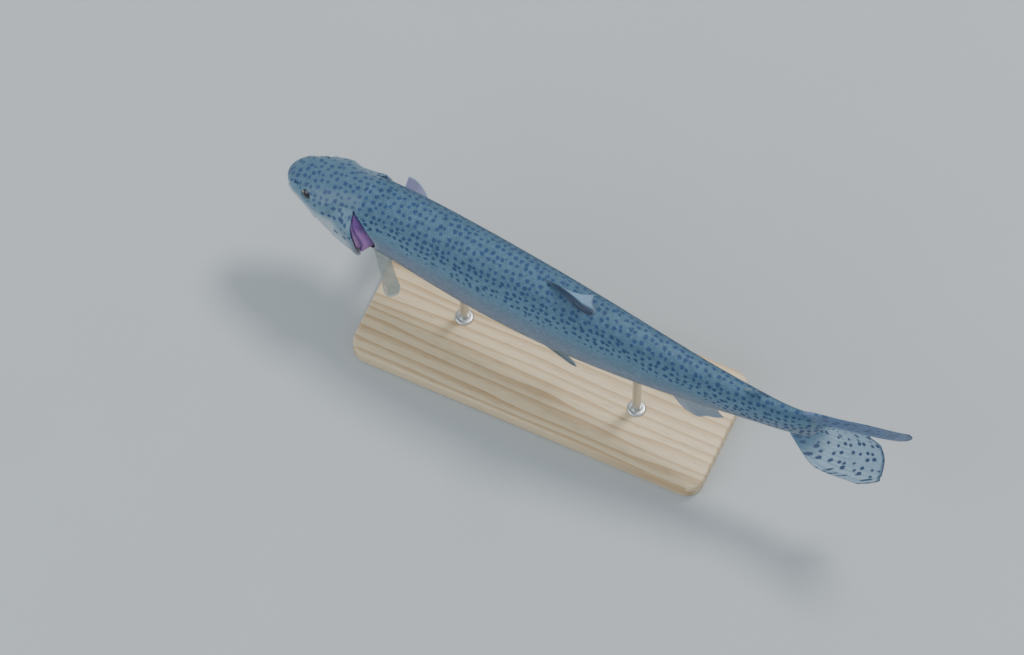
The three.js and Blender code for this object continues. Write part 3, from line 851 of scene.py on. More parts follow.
    def height(self, s: Array, v: Array, side: Array, points: Array) -> Array:
        """All the head's relief at places on the skin.

        Args:
            s: length along the axis.
            v: turn from the back.
            side: +1 or -1.
            points: the same places on the plain form.

        Returns:
            The height over the plain form.
        """
        g = self.sheet.round_to(s, v)
        return (
            self.mouth(s, g)
            + self.jaw_and_throat(s, v, g)
            + self.cover_plates(s, v)
            + self.cheek_bones(s, points, side)
            + self.socket(points, side)
            + self.nose(s, g)
            + self.crown(s, g)
        )


@dataclass(frozen=True)
class FleshSkin:
    """The one skin over head, jaw, gill covers, trunk and tail stalk.

    Stations run along the fish from the snout to the end of the tail stalk. At each gill slit
    they fold: over the cover to its free edge, forward under it, back along the floor of the
    gill chamber and out to the shoulder. The fold dies out at the slit's two ends.

    Attributes:
        fold_stations: stations under the cover, and as many on the chamber's floor.
        trunk_crowding: power that crowds the trunk's stations towards the shoulder.
        chamber_front: length along the axis where the gill chamber starts.
        chamber_step: how far ahead of the shoulder the chamber's floor turns outwards.
        cap: length of the blunt end inside the tail fin.
        feet: start, end, turn and rise of the swellings at the roots of the midline fins.
    """

    form: TroutForm
    sheet: Unrolled
    relief: HeadRelief
    around: int = 288
    dome_stations: int = 40
    face_stations: int = 78
    cover_stations: int = 50
    fold_stations: int = 9
    trunk_stations: int = 104
    trunk_crowding: float = 1.12
    cover_thickness: float = 1.5
    chamber_front: float = 46.5
    chamber_step: float = 0.9
    cap: float = 11.0
    feet: tuple[tuple[float, float, float, float], ...] = (
        (191, 221, 0, 0.8), (336, 346, 0, 0.9), (280, 315, 180, 0.9),
    )

    def run(self, start: Array, end: Array, count: int) -> Array:
        """Even lengths from start, which is left out, to end, as stations by turns."""
        return mix(start, end, (np.arange(count) + 1.0)[:, None] / count)

    def stations(self, v: Array, side: Array) -> tuple[Array, Array, Array]:
        """Lengths, sideways offsets and head shares of all stations.

        Args:
            v: turn of each point round the body.
            side: its side.

        Returns:
            Lengths along the axis, offsets from the form and the share of head relief, each
            stations by turns.
        """
        form = self.form
        edge = form.cover_edge(np.clip(v, form.gill_top, 180))
        edge = np.where(v < 50, 56.0, edge)
        shoulder = np.maximum(form.shoulder_edge(v), edge + 0.8)
        fold = ease(46, 53, v) * ease(177, 160, v)
        swing = np.linspace(0.02, np.pi / 2, self.dome_stations)[:, None]
        dome = form.nose_rounding * (1 - np.cos(swing)) + 0 * v
        hinge = form.gill_hinge + 0 * v
        face = self.run(form.nose_rounding + 0 * v, hinge, self.face_stations)
        cover = self.run(hinge, edge, self.cover_stations)
        outer = np.concatenate((dome, face, cover))
        lift = form.cover_lift(outer, v, side)
        at_edge = form.cover_lift(edge, v, side)
        # The cover's rounded edge, its inner face, the chamber's floor and the wall behind it.
        thick = self.cover_thickness
        turn = np.linspace(0, np.pi, 7)[1:, None]
        rim_s = edge + 0.5 * thick * np.sin(turn)
        rim_off = at_edge - thick * (1 - np.cos(turn)) / 2
        inner_s = self.run(edge, self.chamber_front, self.fold_stations)
        inner_off = form.cover_lift(inner_s, v, side) - thick
        step = self.chamber_step
        floor_s = self.run(self.chamber_front, shoulder - step, self.fold_stations)
        floor_off = -form.chamber_depth(floor_s)
        floor_off[0] += 1.0
        wall = np.linspace(0.2, 1, 6)[:, None]
        deep = form.chamber_depth(shoulder - step)
        wall_s = shoulder - step * (1 - wall) ** 2
        wall_off = -deep * (1 - wall) ** 1.5
        fold_s = np.concatenate((rim_s, inner_s, floor_s, wall_s))
        fold_off = np.concatenate((rim_off, inner_off, floor_off, wall_off))
        # Where there is no slit, as many stations run straight on over the body.
        flat = np.linspace(0, 1, len(fold_s) + 1)[1:, None]
        flat_s = mix(edge, shoulder, flat)
        flat_off = at_edge * (1 - flat)
        fold_s = mix(flat_s, fold_s, fold)
        fold_off = mix(flat_off, fold_off, fold)
        count = self.trunk_stations
        t = ((np.arange(count) + 1.0)[:, None] / count) ** self.trunk_crowding
        trunk = mix(shoulder, form.tail_root + 0 * v, t)
        s = np.concatenate((outer, fold_s, trunk))
        offset = np.concatenate((lift, fold_off, 0 * trunk))
        head = np.concatenate((np.ones_like(outer), 0 * fold_s, 0 * trunk))
        return s, offset, head

    def fin_feet(self, s: Array, v: Array) -> Array:
        """Low swellings of the skin at the midline fins' roots, as bells across each root."""
        height = np.zeros_like(s)
        for start, end, turn, rise in self.feet:
            far = self.sheet.round_to(s, v) - self.sheet.round_to(s, turn + 0 * v)
            height += rise * bell(far, 1.9) * ease(start - 5, start + 1, s) * ease(end + 6, end, s)
        return height

    def build(self) -> Piece:
        """Makes the skin's mesh with its attributes and bake map.

        Points stand on the form at their station, and are then moved by the relief along the
        normals of their rings.

        Returns:
            The skin.
        """
        turn = (np.arange(self.around) + 0.5) * 360 / self.around
        side = np.where(turn < 180, 1.0, -1.0)
        v = np.where(turn < 180, turn, 360 - turn)
        s, offset, head = self.stations(v, side)
        vv = v + 0 * s
        ss = side + 0 * s
        out, up = self.form.section(s, vv, -self.sheet.inset)
        grid = self.form.place(s, ss * (out + offset), up)
        relief = self.relief.height(s, vv, ss, grid) * head
        relief += self.fin_feet(s, vv) * (1 - head)
        normals = ring_normals(grid)
        middle = self.form.place(s, 0 * s, 0 * s)
        facing = np.sign((normals * (grid - middle)).sum(-1))
        outer = head[:, :1] > 0.5
        normals = np.where(outer[..., None], normals * facing[..., None], normals)
        grid = grid + normals * (relief * ease(0.0, 1.5, s))[..., None]
        # The blunt end of the stalk, inside the tail fin.
        cap = np.linspace(0, 1, 12)[1:, None]
        cap_s = self.form.tail_root + self.cap * cap + 0 * v
        cap_out, cap_up = self.form.section(self.form.tail_root + 0 * cap_s, v, -self.sheet.inset)
        narrow = 1 - 0.9 * ease(-0.2, 1, cap)
        ends = self.form.place(cap_s, side * cap_out * narrow, cap_up * (1 - 0.3 * cap**2))
        rings = np.concatenate((grid, ends))
        skin = lofted("trout_skin", rings)
        s = np.concatenate((s, np.minimum(cap_s, self.sheet.length - 1.0)))
        vv = v + 0 * s
        g = self.sheet.round_to(s, vv)
        along = self.sheet.along(s)
        lie = np.stack([along, g * side, vv], -1)
        keep_values(skin, "lie", lie.reshape(-1, 3))
        keep_values(skin, "region", self.relief_regions(s, vv, offset))
        dabs = MARKINGS.dabbed(s, along, g, self.sheet)
        keep_values(skin, "dab", dabs.ravel())
        self.lay_out(skin, len(rings))
        return skin

    def relief_regions(self, s: Array, v: Array, offset: Array) -> Array:
        """The markings' shares, with the chamber's inside turned rosy where the skin goes in."""
        region = MARKINGS.regions(s, v)
        inside = np.zeros_like(s)
        inside[: len(offset)] = ease(-0.2, -1.2, offset)
        region[..., 0] *= 1 - inside
        region[..., 1] *= 1 - inside
        region[..., 2] = np.maximum(region[..., 2], inside)
        return region.reshape(-1, 3)

    def lay_out(self, skin: Piece, rings: int) -> None:
        """Gives the skin its bake map: stations across, turns up and the ladders at the rims."""
        place = np.arange(rings)[:, None] / (rings - 1)
        turn = (np.arange(self.around) + 0.5)[None, :] / self.around
        flat = np.stack([0.006 + 0.988 * place + 0 * turn, 0.004 + 0.992 * turn + 0 * place], -1)
        corner = np.empty(len(skin.data.loops), np.int32)
        skin.data.loops.foreach_get("vertex_index", corner)
        uv = flat.reshape(-1, 2)[corner]
        side = (rings - 1) * self.around * 4
        quads = uv[:side].reshape(-1, 4, 2)
        seam = np.ptp(quads[..., 1], axis=1) > 0.5
        quads[seam, :, 1] = np.where(quads[seam, :, 1] < 0.5, 1.0, quads[seam, :, 1])
        ladders = uv[side:].reshape(2, -1, 4, 2)
        ladders[0, ..., 0] = np.array([0.005, 0.005, 0.0, 0.0])
        ladders[1, ..., 0] = np.array([1.0, 1.0, 0.995, 0.995])
        k = np.arange(self.around // 2 - 1)[:, None]
        up = np.concatenate((k, k + 1, k + 1, k), axis=1) / self.around
        ladders[:, ..., 1] = up
        keep_map(skin, uv)


# ---------------------------------------- the scales


@dataclass(frozen=True)
class ScaleCoat:
    """Overlapping scales in rows beside the lateral line, from the shoulder to the tail.

    Attributes:
        pitch: distance from scale to scale along a row at the shoulder and at the tail.
        row: distance from row to row at the shoulder; it shrinks as the pitch does.
        overlap: a scale's length as a share of the pitch.
        breadth: a scale's width as a share of the row distance.
        rise: how far the rear edge stands over the skin.
        root: how deep the front edge is sunk.
        seat: share of a scale's length that lies ahead of its place in the row.
        most_rows: rows laid out on each side of the lateral line, before those past a midline go.
        past: how far past the midlines rows go, as a share of the row distance.
        stray: how far scales stray along and across, as shares of the pitch and row distance.
    """

    form: TroutForm
    sheet: Unrolled
    pitch: tuple[float, float] = (2.45, 1.85)
    row: float = 1.62
    overlap: float = 1.85
    breadth: float = 2.05
    rise: float = 0.30
    root: float = 0.22
    seat: float = 0.62
    first: float = 56.0
    most_rows: int = 42
    past: float = 0.45
    stray: tuple[float, float] = (0.06, 0.04)
    seed: int = 11

    def template(self) -> tuple[Array, Array, Array]:
        """One scale: a rounded shield of five points by three, and its underside.

        Across, the points run from -1 to 1; along, from the root (0) to the rear edge (1),
        which bows out as a circle does. The face is crowned by the square of the distance from
        the middle line.

        Returns:
            The points as (along, across, height share), the corners and the face sizes.
        """
        across = np.linspace(-1, 1, 5)
        rear = 0.62 + 0.38 * np.sqrt(1 - 0.96 * across**2)
        widths = (0.62, 1.0, 0.78)
        rows = [
            np.stack([rear * along, across * width, along - 0.3 * across**2 * along], -1)
            for along, width in zip((0.0, 0.5, 1.0), widths)
        ]
        points = np.concatenate(rows)
        k = np.arange(4)
        top = [np.stack([r + k, r + 5 + k, r + 6 + k, r + 1 + k], -1) for r in (0, 5)]
        rim = np.array([0, 1, 2, 3, 4, 9, 14, 13, 12, 11, 10, 5])
        corners = np.concatenate((np.concatenate(top).ravel(), rim))
        return points, corners, np.array([4] * 8 + [12])

    def roots(self, side: float, upper: bool) -> tuple[Array, Array, Array]:
        """Where the scales of one quarter of the body have their middles.

        Rows lie at whole numbers of row distances from the lateral line, and end just past the
        midline of the back or belly; every other row is shifted by half a pitch.

        Args:
            side: +1 or -1.
            upper: whether it's the quarter over the lateral line.

        Returns:
            Length along the axis, distance round from the back and pitch of each scale.
        """
        rng = np.random.default_rng(self.seed + int(2 * side) + int(upper))
        steps = [self.first]
        while steps[-1] < self.form.tail_root - 1.5:
            steps.append(steps[-1] + self.pitch_at(np.array(steps[-1])))
        rows = np.arange(0, self.most_rows) if upper else np.arange(-1, -self.most_rows, -1)
        base, row = np.meshgrid(np.array(steps), rows, indexing="ij")
        pitch = self.pitch_at(base)
        s = base + np.where(row % 2 == 0, 0.0, 0.5) * pitch
        s = s + rng.uniform(-self.stray[0], self.stray[0], s.shape) * pitch
        g = self.line(s) - row * self.row * pitch / self.pitch[0]
        g = g + rng.uniform(-self.stray[1], self.stray[1], g.shape) * self.row
        half = self.sheet.half_girth(s)
        turn = self.sheet.turn_at(s, np.clip(g, 0, half))[0]
        behind = s > self.form.shoulder_edge(turn) + 0.95 * pitch
        past = self.past * self.row
        kept = (g > -past) & (g < half + past) & behind & (s < self.form.tail_root - 0.5)
        return s[kept], side * g[kept], pitch[kept]

    def pitch_at(self, s: Array) -> Array:
        """The pitch shrinks evenly from the shoulder to the tail."""
        return mix(self.pitch[0], self.pitch[1], ease(120, 384, s))

    def line(self, s: Array) -> Array:
        """Distance round from the back to the lateral line, which sinks a little to mid flank."""
        return self.sheet.round_to(s, 84 + 6 * ease(60, 130, s))

    def build(self, name: str, side: float, upper: bool) -> Piece:
        """Makes the scales of one quarter.

        Every point of the template is carried to the unrolled skin at its scale's root, from
        there onto the skin's form, and raised along the form's normal.

        Args:
            name: the piece's name.
            side: +1 or -1.
            upper: whether it's the quarter over the lateral line.

        Returns:
            The piece.
        """
        s, g, pitch = self.roots(side, upper)
        shield, corners, sizes = self.template()
        count = len(s)
        length = (self.overlap * pitch)[:, None]
        width = (self.breadth * self.row * pitch / self.pitch[0])[:, None] / 2
        along = s[:, None] + (shield[:, 0] - self.seat) * length
        shift = self.line(along) - self.line(s)[:, None]
        round_to = g[:, None] + side * shift + shield[:, 1] * width
        turn, sides = self.sheet.turn_at(along, round_to)
        out, up = self.form.section(along, turn, -self.sheet.inset)
        base = self.form.place(along, sides * out, up)
        normal = self.normals(along, turn, sides)
        height = -self.root + (self.rise + self.root) * shield[:, 2]
        tube = (np.abs(self.line(s) - np.abs(g)) < 0.4 * self.row)[:, None]
        height = height + 0.16 * tube * bell(shield[:, 1], 0.4) * ease(0.1, 0.5, shield[:, 0])
        points = base + normal * height[..., None]
        first = np.arange(count)[:, None] * len(shield)
        order = corners if side < 0 else self.reversed_faces(corners, sizes)
        piece = mesh_piece(
            name, points.reshape(-1, 3), (first + order).ravel(), np.tile(sizes, count)
        )
        piece.data.set_sharp_from_angle(angle=math.radians(45))
        rng = np.random.default_rng(self.seed)
        tone = np.stack([
            np.repeat(rng.random(count), len(shield)),
            np.tile(shield[:, 0], count),
            np.zeros(count * len(shield)),
        ], -1)
        lie = np.stack([self.sheet.along(along), round_to, turn], -1)
        keep_values(piece, "lie", lie.reshape(-1, 3))
        keep_values(piece, "region", MARKINGS.regions(along, turn).reshape(-1, 3))
        keep_values(piece, "tone", tone)
        self.lay_out(piece, s, g, shield)
        return piece

    def reversed_faces(self, corners: Array, sizes: Array) -> Array:
        """The same faces with their corners in the other order."""
        return np.concatenate([face[::-1] for face in np.split(corners, np.cumsum(sizes)[:-1])])

    def normals(self, s: Array, turn: Array, side: Array) -> Array:
        """Outward normals of the form, from two short steps along and round it."""
        def at(length: Array, angle: Array) -> Array:
            out, up = self.form.section(length, angle, -self.sheet.inset)
            return self.form.place(length, side * out, up)

        along = at(s + 0.5, turn) - at(s - 0.5, turn)
        round_ = at(s, np.minimum(turn + 0.5, 180)) - at(s, np.maximum(turn - 0.5, 0))
        return unit(np.cross(along, round_) * -side[..., None])

    def lay_out(self, piece: Piece, s: Array, g: Array, shield: Array) -> None:
        """Gives each scale a small patch of the bake map, at its place on the unrolled skin."""
        patch = 0.003
        flat = np.stack([s, np.abs(g)], -1)
        low, high = flat.min(0), flat.max(0)
        middle = 0.004 + 0.992 * (flat - low) / (high - low)
        spread = np.stack([shield[:, 0] - 0.5, shield[:, 1] / 2], -1) * patch
        places = (middle[:, None, :] + spread).reshape(-1, 2)
        corner = np.empty(len(piece.data.loops), np.int32)
        piece.data.loops.foreach_get("vertex_index", corner)
        keep_map(piece, np.clip(places[corner], 0, 1))


# ---------------------------------------- fins


@dataclass(frozen=True)
class FinFinish:
    """A fin: horny jointed rays in a thin clear membrane, fleshy at the root.

    Attributes:
        membrane: colour between the rays.
        clear: how much light the membrane stops, from 0 to 1.
        spots: distance between dark spots in millimetres, 0 for none.
        lead: colour of the stronger rays at one side of the fan; on the dorsal fin it is partly
            painted shade.
        led: shares u across the fan where that colour starts and where it is full.
    """

    name: str
    root: str
    membrane: str
    ray: str
    edge: str
    clear: float = 0.55
    spots: float = 0.0
    spot: str = "26384E"
    lead: str = "A9BAC4"
    led: tuple[float, float] = (0.03, 0.0)

    def material(self) -> Material:
        """Reads how much ray there is, how far out it lies and the fin's own flat coordinates."""
        material, tree = new_material(self.name)
        fan = node(tree, "Attribute", {}, attribute_name="fan").outputs["Vector"]
        ridge, out, rim = node(tree, "SeparateXYZ", {0: fan}).outputs
        lie = node(tree, "Attribute", {}, attribute_name="lie").outputs["Vector"]
        mottle = node(tree, "TexNoise", {"Vector": lie, "Scale": 0.45, "Detail": 3.0})
        near = node(tree, "MapRange", {0: out, 1: 0.08, 2: 0.42, 3: 1.0, 4: 0.0}, **SMOOTH)
        web = node(tree, "Mix", {
            0: ridge, 6: linear(self.membrane), 7: linear(self.ray),
        }, **COLOURS)
        fleshy = node(tree, "Mix", {0: near, 6: web, 7: linear(self.root)}, **COLOURS)
        across = node(tree, "SeparateXYZ", {0: lie}).outputs[2]
        strong = node(tree, "MapRange", {0: across, 1: self.led[0], 2: self.led[1]}, **SMOOTH)
        led = node(tree, "Mix", {0: strong, 6: fleshy, 7: linear(self.lead)}, **COLOURS)
        edged = node(tree, "Mix", {0: rim, 6: led, 7: linear(self.edge)}, **COLOURS)
        tone = node(tree, "MapRange", {0: mottle, 3: 0.75, 4: 1.25})
        toned = node(tree, "Mix", {0: 1.0, 6: edged, 7: tone}, **TINT)
        solid = node(tree, "MapRange", {0: ridge, 3: self.clear, 4: 0.9})
        thick = node(tree, "Math", {0: solid, 1: near}, operation="MAXIMUM")
        held = node(tree, "Math", {0: rim, 1: strong}, operation="MAXIMUM")
        firm = node(tree, "Math", {0: held, 1: 0.9}, operation="MULTIPLY")
        alpha = node(tree, "Math", {0: thick, 1: firm}, operation="MAXIMUM")
        colour = toned
        if self.spots:
            cells = node(tree, "TexVoronoi", {
                "Vector": lie, "Scale": 1 / self.spots, "Randomness": 0.7,
            }, voronoi_dimensions="2D")
            chance = node(tree, "SeparateColor", {0: cells.outputs["Color"]})
            radius = node(tree, "MapRange", {0: chance, 3: 0.16, 4: 0.3})
            inside = node(tree, "Math", {0: radius, 1: cells}, operation="SUBTRACT")
            mask = node(tree, "MapRange", {0: inside, 1: -0.05, 2: 0.06}, **SMOOTH)
            colour = node(tree, "Mix", {0: mask, 6: colour, 7: linear(self.spot)}, **COLOURS)
            dense = node(tree, "Math", {0: mask, 1: 0.88}, operation="MULTIPLY")
            alpha = node(tree, "Math", {0: alpha, 1: dense}, operation="MAXIMUM")
        joints = node(tree, "TexWave", {
            "Vector": lie, "Scale": 0.28, "Distortion": 0.6,
        }, bands_direction="Y", wave_profile="SAW")
        bump = node(tree, "Bump", {
            "Height": joints.outputs["Fac"], "Strength": 0.25, "Distance": 0.06 * MM,
        })
        finish_surface(tree, {
            "Base Color": colour, "Alpha": alpha, "Roughness": 0.38, "IOR": 1.4,
            "Normal": bump, "Coat Weight": 0.15, "Coat Roughness": 0.2,
        })
        return material


@dataclass(frozen=True)
class Fin:
    """A fan of rays in a thin web, as a closed sheet with two faces.

    Attributes:
        rays: how many rays it has; 0 makes a plain fleshy fin.
        thickness: its thickness at the root.
        length: its longest ray, for the scale of its patterns.
        ripple: how far its web waves to the sides at the edge.
    """

    name: str
    finish: FinFinish
    rays: int
    thickness: float
    length: float
    ripple: float = 0.5
    points_per_ray: int = 9
    steps: int = 44

    def ridge(self, u: Array, t: Array) -> Array:
        """How much ray there is at a place, from 0 to 1.

        Each ray is a bell across its own strip of the fan. It splits in two, and near the edge
        in four: folding the distance from the strip's middle once or twice gives the branches.
        The first two rays stay whole.
        """
        if not self.rays:
            return np.ones_like(u)
        strip = np.abs((self.rays * u) % 1.0 - 0.5)
        forked = np.abs(strip - 0.24 * ease(0.38, 0.7, t))
        twice = np.abs(forked - 0.11 * ease(0.7, 0.95, t))
        leading = ease(2.4, 1.6, self.rays * u)
        return bell(mix(twice, strip, leading), 0.16)

    def build(self, sheet: Shape) -> Piece:
        """Makes the fin.

        Args:
            sheet: gives the points of the middle sheet at shares u across the fan, from the
                leading ray, and t along its rays.

        Returns:
            The fin.
        """
        count = max(self.rays, 6) * self.points_per_ray + 1
        across = np.linspace(0, 1, count)
        t, u = np.meshgrid(np.linspace(0, 1, self.steps), across, indexing="ij")
        ridge = self.ridge(u, t)
        tips = self.ridge(u, np.ones_like(t))
        reach = t * (1 - 0.01 * (1 - tips))
        middle = sheet(u, reach)
        normal = unit(np.cross(
            sheet(u, t + 0.01) - sheet(u, t - 0.01), sheet(u + 0.01, t) - sheet(u - 0.01, t)
        ))
        wave = self.ripple * t**1.5 * np.sin(2.6 * np.pi * u + 1.2 * t)
        fringe = np.clip(np.minimum(u, 1 - u) / 0.012, 0.12, 1) ** 0.5
        flesh = ease(0.34, 0.05, t)
        body = mix(self.thickness, 0.62, ease(0, 0.8, t)) / 2
        half = body * fringe * mix(0.42 + 0.58 * ridge, 1.0, flesh) * mix(1, 0.6, ease(0.94, 1, t))
        middle = middle + normal * wave[..., None]
        front = middle + normal * half[..., None]
        rear = middle - normal * half[..., None]
        piece = lofted(self.name + "_web", np.concatenate((front, rear[:, ::-1]), axis=1))
        rim = np.maximum(ease(0.955, 0.99, t), 0.75 * ease(0.012, 0.0, u))
        fan = np.stack([ridge, t, rim], -1)
        wide = np.linalg.norm(middle[-1, 0] - middle[-1, -1])
        lie = np.stack([mix(0.35, 1.0, t) * (u - 0.5) * wide, t * self.length, u], -1)
        for name, values in (("fan", fan), ("lie", lie)):
            both = np.concatenate((values, values[:, ::-1]), axis=1)
            keep_values(piece, name, both.reshape(-1, 3))
        piece.data.materials.append(self.finish.material())
        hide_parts(self.name)
        return piece


@dataclass(frozen=True)
class MidlineFin:
    """A fin on the back's or belly's midline, swept back and leaning to one side.

    Attributes:
        up: +1 on the back, -1 on the belly.
        sweep: angles from upright of its first and last ray, in degrees.
        lean: angles to the fish's left of its first and last ray.
    """

    start: float
    end: float
    up: float
    sweep: tuple[float, float]
    lean: tuple[float, float]
    rays: SmoothCurve
    sink: float = 2.5

    def sheet(self, form: TroutForm) -> Shape:
        """The fin's middle sheet.

        A ray starts at its root on the midline, sunk into the body. Its sweep from upright and
        its lean both grow along it.

        Args:
    
        Returns:
            A function of u and t that gives points.
        """
        def at(u: Array, t: Array) -> Array:
            s = mix(self.start, self.end, u)
            edge = form.back(s) if self.up > 0 else form.belly(s)
            reach = (self.rays(u) + self.sink) * t
            sweep = np.radians(mix(self.sweep[0], self.sweep[1], u) * (0.8 + 0.2 * t))
            lean = np.radians(mix(self.lean[0], self.lean[1], u) * np.minimum(1, 0.25 + t))
            rise = reach * np.cos(sweep)
            level = edge - self.up * self.sink + self.up * rise * np.cos(lean)
            return form.place(s + reach * np.sin(sweep), rise * np.sin(lean), level)

        return at


@dataclass(frozen=True)
class TailFin:
    """The forked tail fin, caught at the end of a stroke: both lobes lean to the left.

    Attributes:
        upper, lower: reach of the lobes from the middle.
        upper_lean: the upper lobe's lean at its root and its edge, in degrees.
        lower_lean: the lower lobe's lean at its root and its edge.
        cup: how far the upper lobe bows to the left.
        flare: powers by which the lower and the upper lobe spread along their rays.
        edge: length along the axis of the rear edge, from the lower tip (-1) to the upper (1).
    """

    upper: float = 49.0
    lower: float = 48.0
    upper_lean: tuple[float, float] = (12.0, 18.5)
    lower_lean: tuple[float, float] = (31.0, 21.0)
    cup: float = 3.0
    flare: tuple[float, float] = (0.55, 0.85)
    edge: SmoothCurve = SmoothCurve((
        (-1, 419), (-0.86, 433), (-0.5, 434.5), (-0.2, 431), (0, 423), (0.2, 430), (0.5, 443),
        (0.88, 452), (1, 450),
    ))

    def sheet(self, form: TroutForm) -> Shape:
        """The tail's middle sheet: rays fan from the stalk's end to the forked edge.

        Args:
    
        Returns:
            A function of u, from the lower to the upper edge, and t that gives points.
        """
        top = float(form.back(form.tail_root))
        low = float(form.belly(form.tail_root))

        def at(u: Array, t: Array) -> Array:
            w = 2 * u - 1
            root = form.tail_root - 2.5 - np.where(w > 0, 4, 11) * w * w
            s = mix(root, self.edge(np.clip(w, -1, 1)), t)
            over = w > 0
            spread = np.where(over, self.upper, self.lower)
            flare = np.maximum(t, 0) ** np.where(over, self.flare[1], self.flare[0])
            off = w * mix((top - low) / 2 - 0.4, spread, flare)
            bend = np.hypot(off, 8) - 8
            start = np.where(over, self.upper_lean[0], self.lower_lean[0])
            end = np.where(over, self.upper_lean[1], self.lower_lean[1])
            lean = np.radians(mix(start, end, ease(0.3, 1, t)) * ease(-0.1, 0.45, t))
            hollow = self.cup * np.where(over, np.sin(np.pi * w), 0) * ease(0, 1, t)
            level = (top + low) / 2 + off * np.cos(lean)
            return form.place(s, bend * np.sin(lean) + hollow, level)

        return at


@dataclass(frozen=True)
class PairedFin:
    """A fin of a pair: a fan between a leading and a last ray.

    Attributes:
        s, v: length along the axis and turn of its leading ray's root.
        drop: how much further round its last ray's root lies.
        lead, last: directions of its two outer rays, as tailward, outward and up.
        camber: how far its last ray stands off to one side, at the edge.
    """

    side: float
    s: float
    length: float
    v: float
    drop: float
    lead: tuple[float, float, float]
    last: tuple[float, float, float]
    rays: SmoothCurve
    camber: float
    sink: float = 2.5

    def sheet(self, form: TroutForm) -> Shape:
        """The fin's middle sheet, cambered across its rays.

        Args:
    
        Returns:
            A function of u and t that gives points.
        """
        lead = form.direction(self.s, self.lead[0], self.side * self.lead[1], self.lead[2])
        last = form.direction(self.s, self.last[0], self.side * self.last[1], self.last[2])
        across = unit(np.cross(lead, last))

        def at(u: Array, t: Array) -> Array:
            s = self.s + self.length * u
            out, up = form.section(s, self.v + self.drop * u, -self.sink)
            along = unit(mix(lead, last, ease(-0.3, 1.3, u)[..., None]))
            camber = self.camber * np.sin(np.pi * np.clip(t, 0, 1) / 2) * (u - 0.5)
            reach = (self.rays(u) + self.sink) * t
            root = form.place(s, self.side * out, up)
            return root + along * reach[..., None] + across * camber[..., None]

        return at


# ---------------------------------------- gills


@dataclass(frozen=True)
class GillFinish:
    """Gill filaments full of blood, soft and wet, with painted shade between the arches and
    filaments and a painted shadow at the slit's top and by the shoulder.
    """

    bright: str = "CA8CD2"
    # deep: colour of the painted shade between arches and filaments and of the painted shadow.
    deep: str = "5C3C7C"
    pale: str = "F2CCE8"

    def material(self) -> Material:
        """Reads the comb's height and its place under the cover."""
        material, tree = new_material("Gill filaments, wet and blood-filled")
        comb = node(tree, "Attribute", {}, attribute_name="comb").outputs["Vector"]
        ridge, rear, shadow = node(tree, "SeparateXYZ", {0: comb}).outputs
        body = node(tree, "Mix", {
            0: rear, 6: linear(self.pale), 7: linear(self.bright),
        }, **COLOURS)
        # Painted shadow: the deep colour at the top of the slit and towards the shoulder.
        deep = node(tree, "Mix", {0: shadow, 6: body, 7: linear(self.deep)}, **COLOURS)
        # Painted shade: the deep colour in the gaps between arches and between filaments.
        grooves = node(tree, "Mix", {0: ridge, 6: linear(self.deep), 7: deep}, **COLOURS)
        place = node(tree, "TexCoord", {}).outputs["Object"]
        vein = node(tree, "TexNoise", {"Vector": place, "Scale": 1 / (1.4 * MM), "Detail": 3.0})
        tone = node(tree, "MapRange", {0: vein, 3: 0.72, 4: 1.28})
        toned = node(tree, "Mix", {0: 1.0, 6: grooves, 7: tone}, **TINT)
        finish_surface(tree, {
            "Base Color": toned, "Roughness": 0.32, "IOR": 1.4, "Coat Weight": 0.3,
            "Coat Roughness": 0.15, "Subsurface Weight": 0.15, "Subsurface Scale": 2 * MM,
        })
        return material


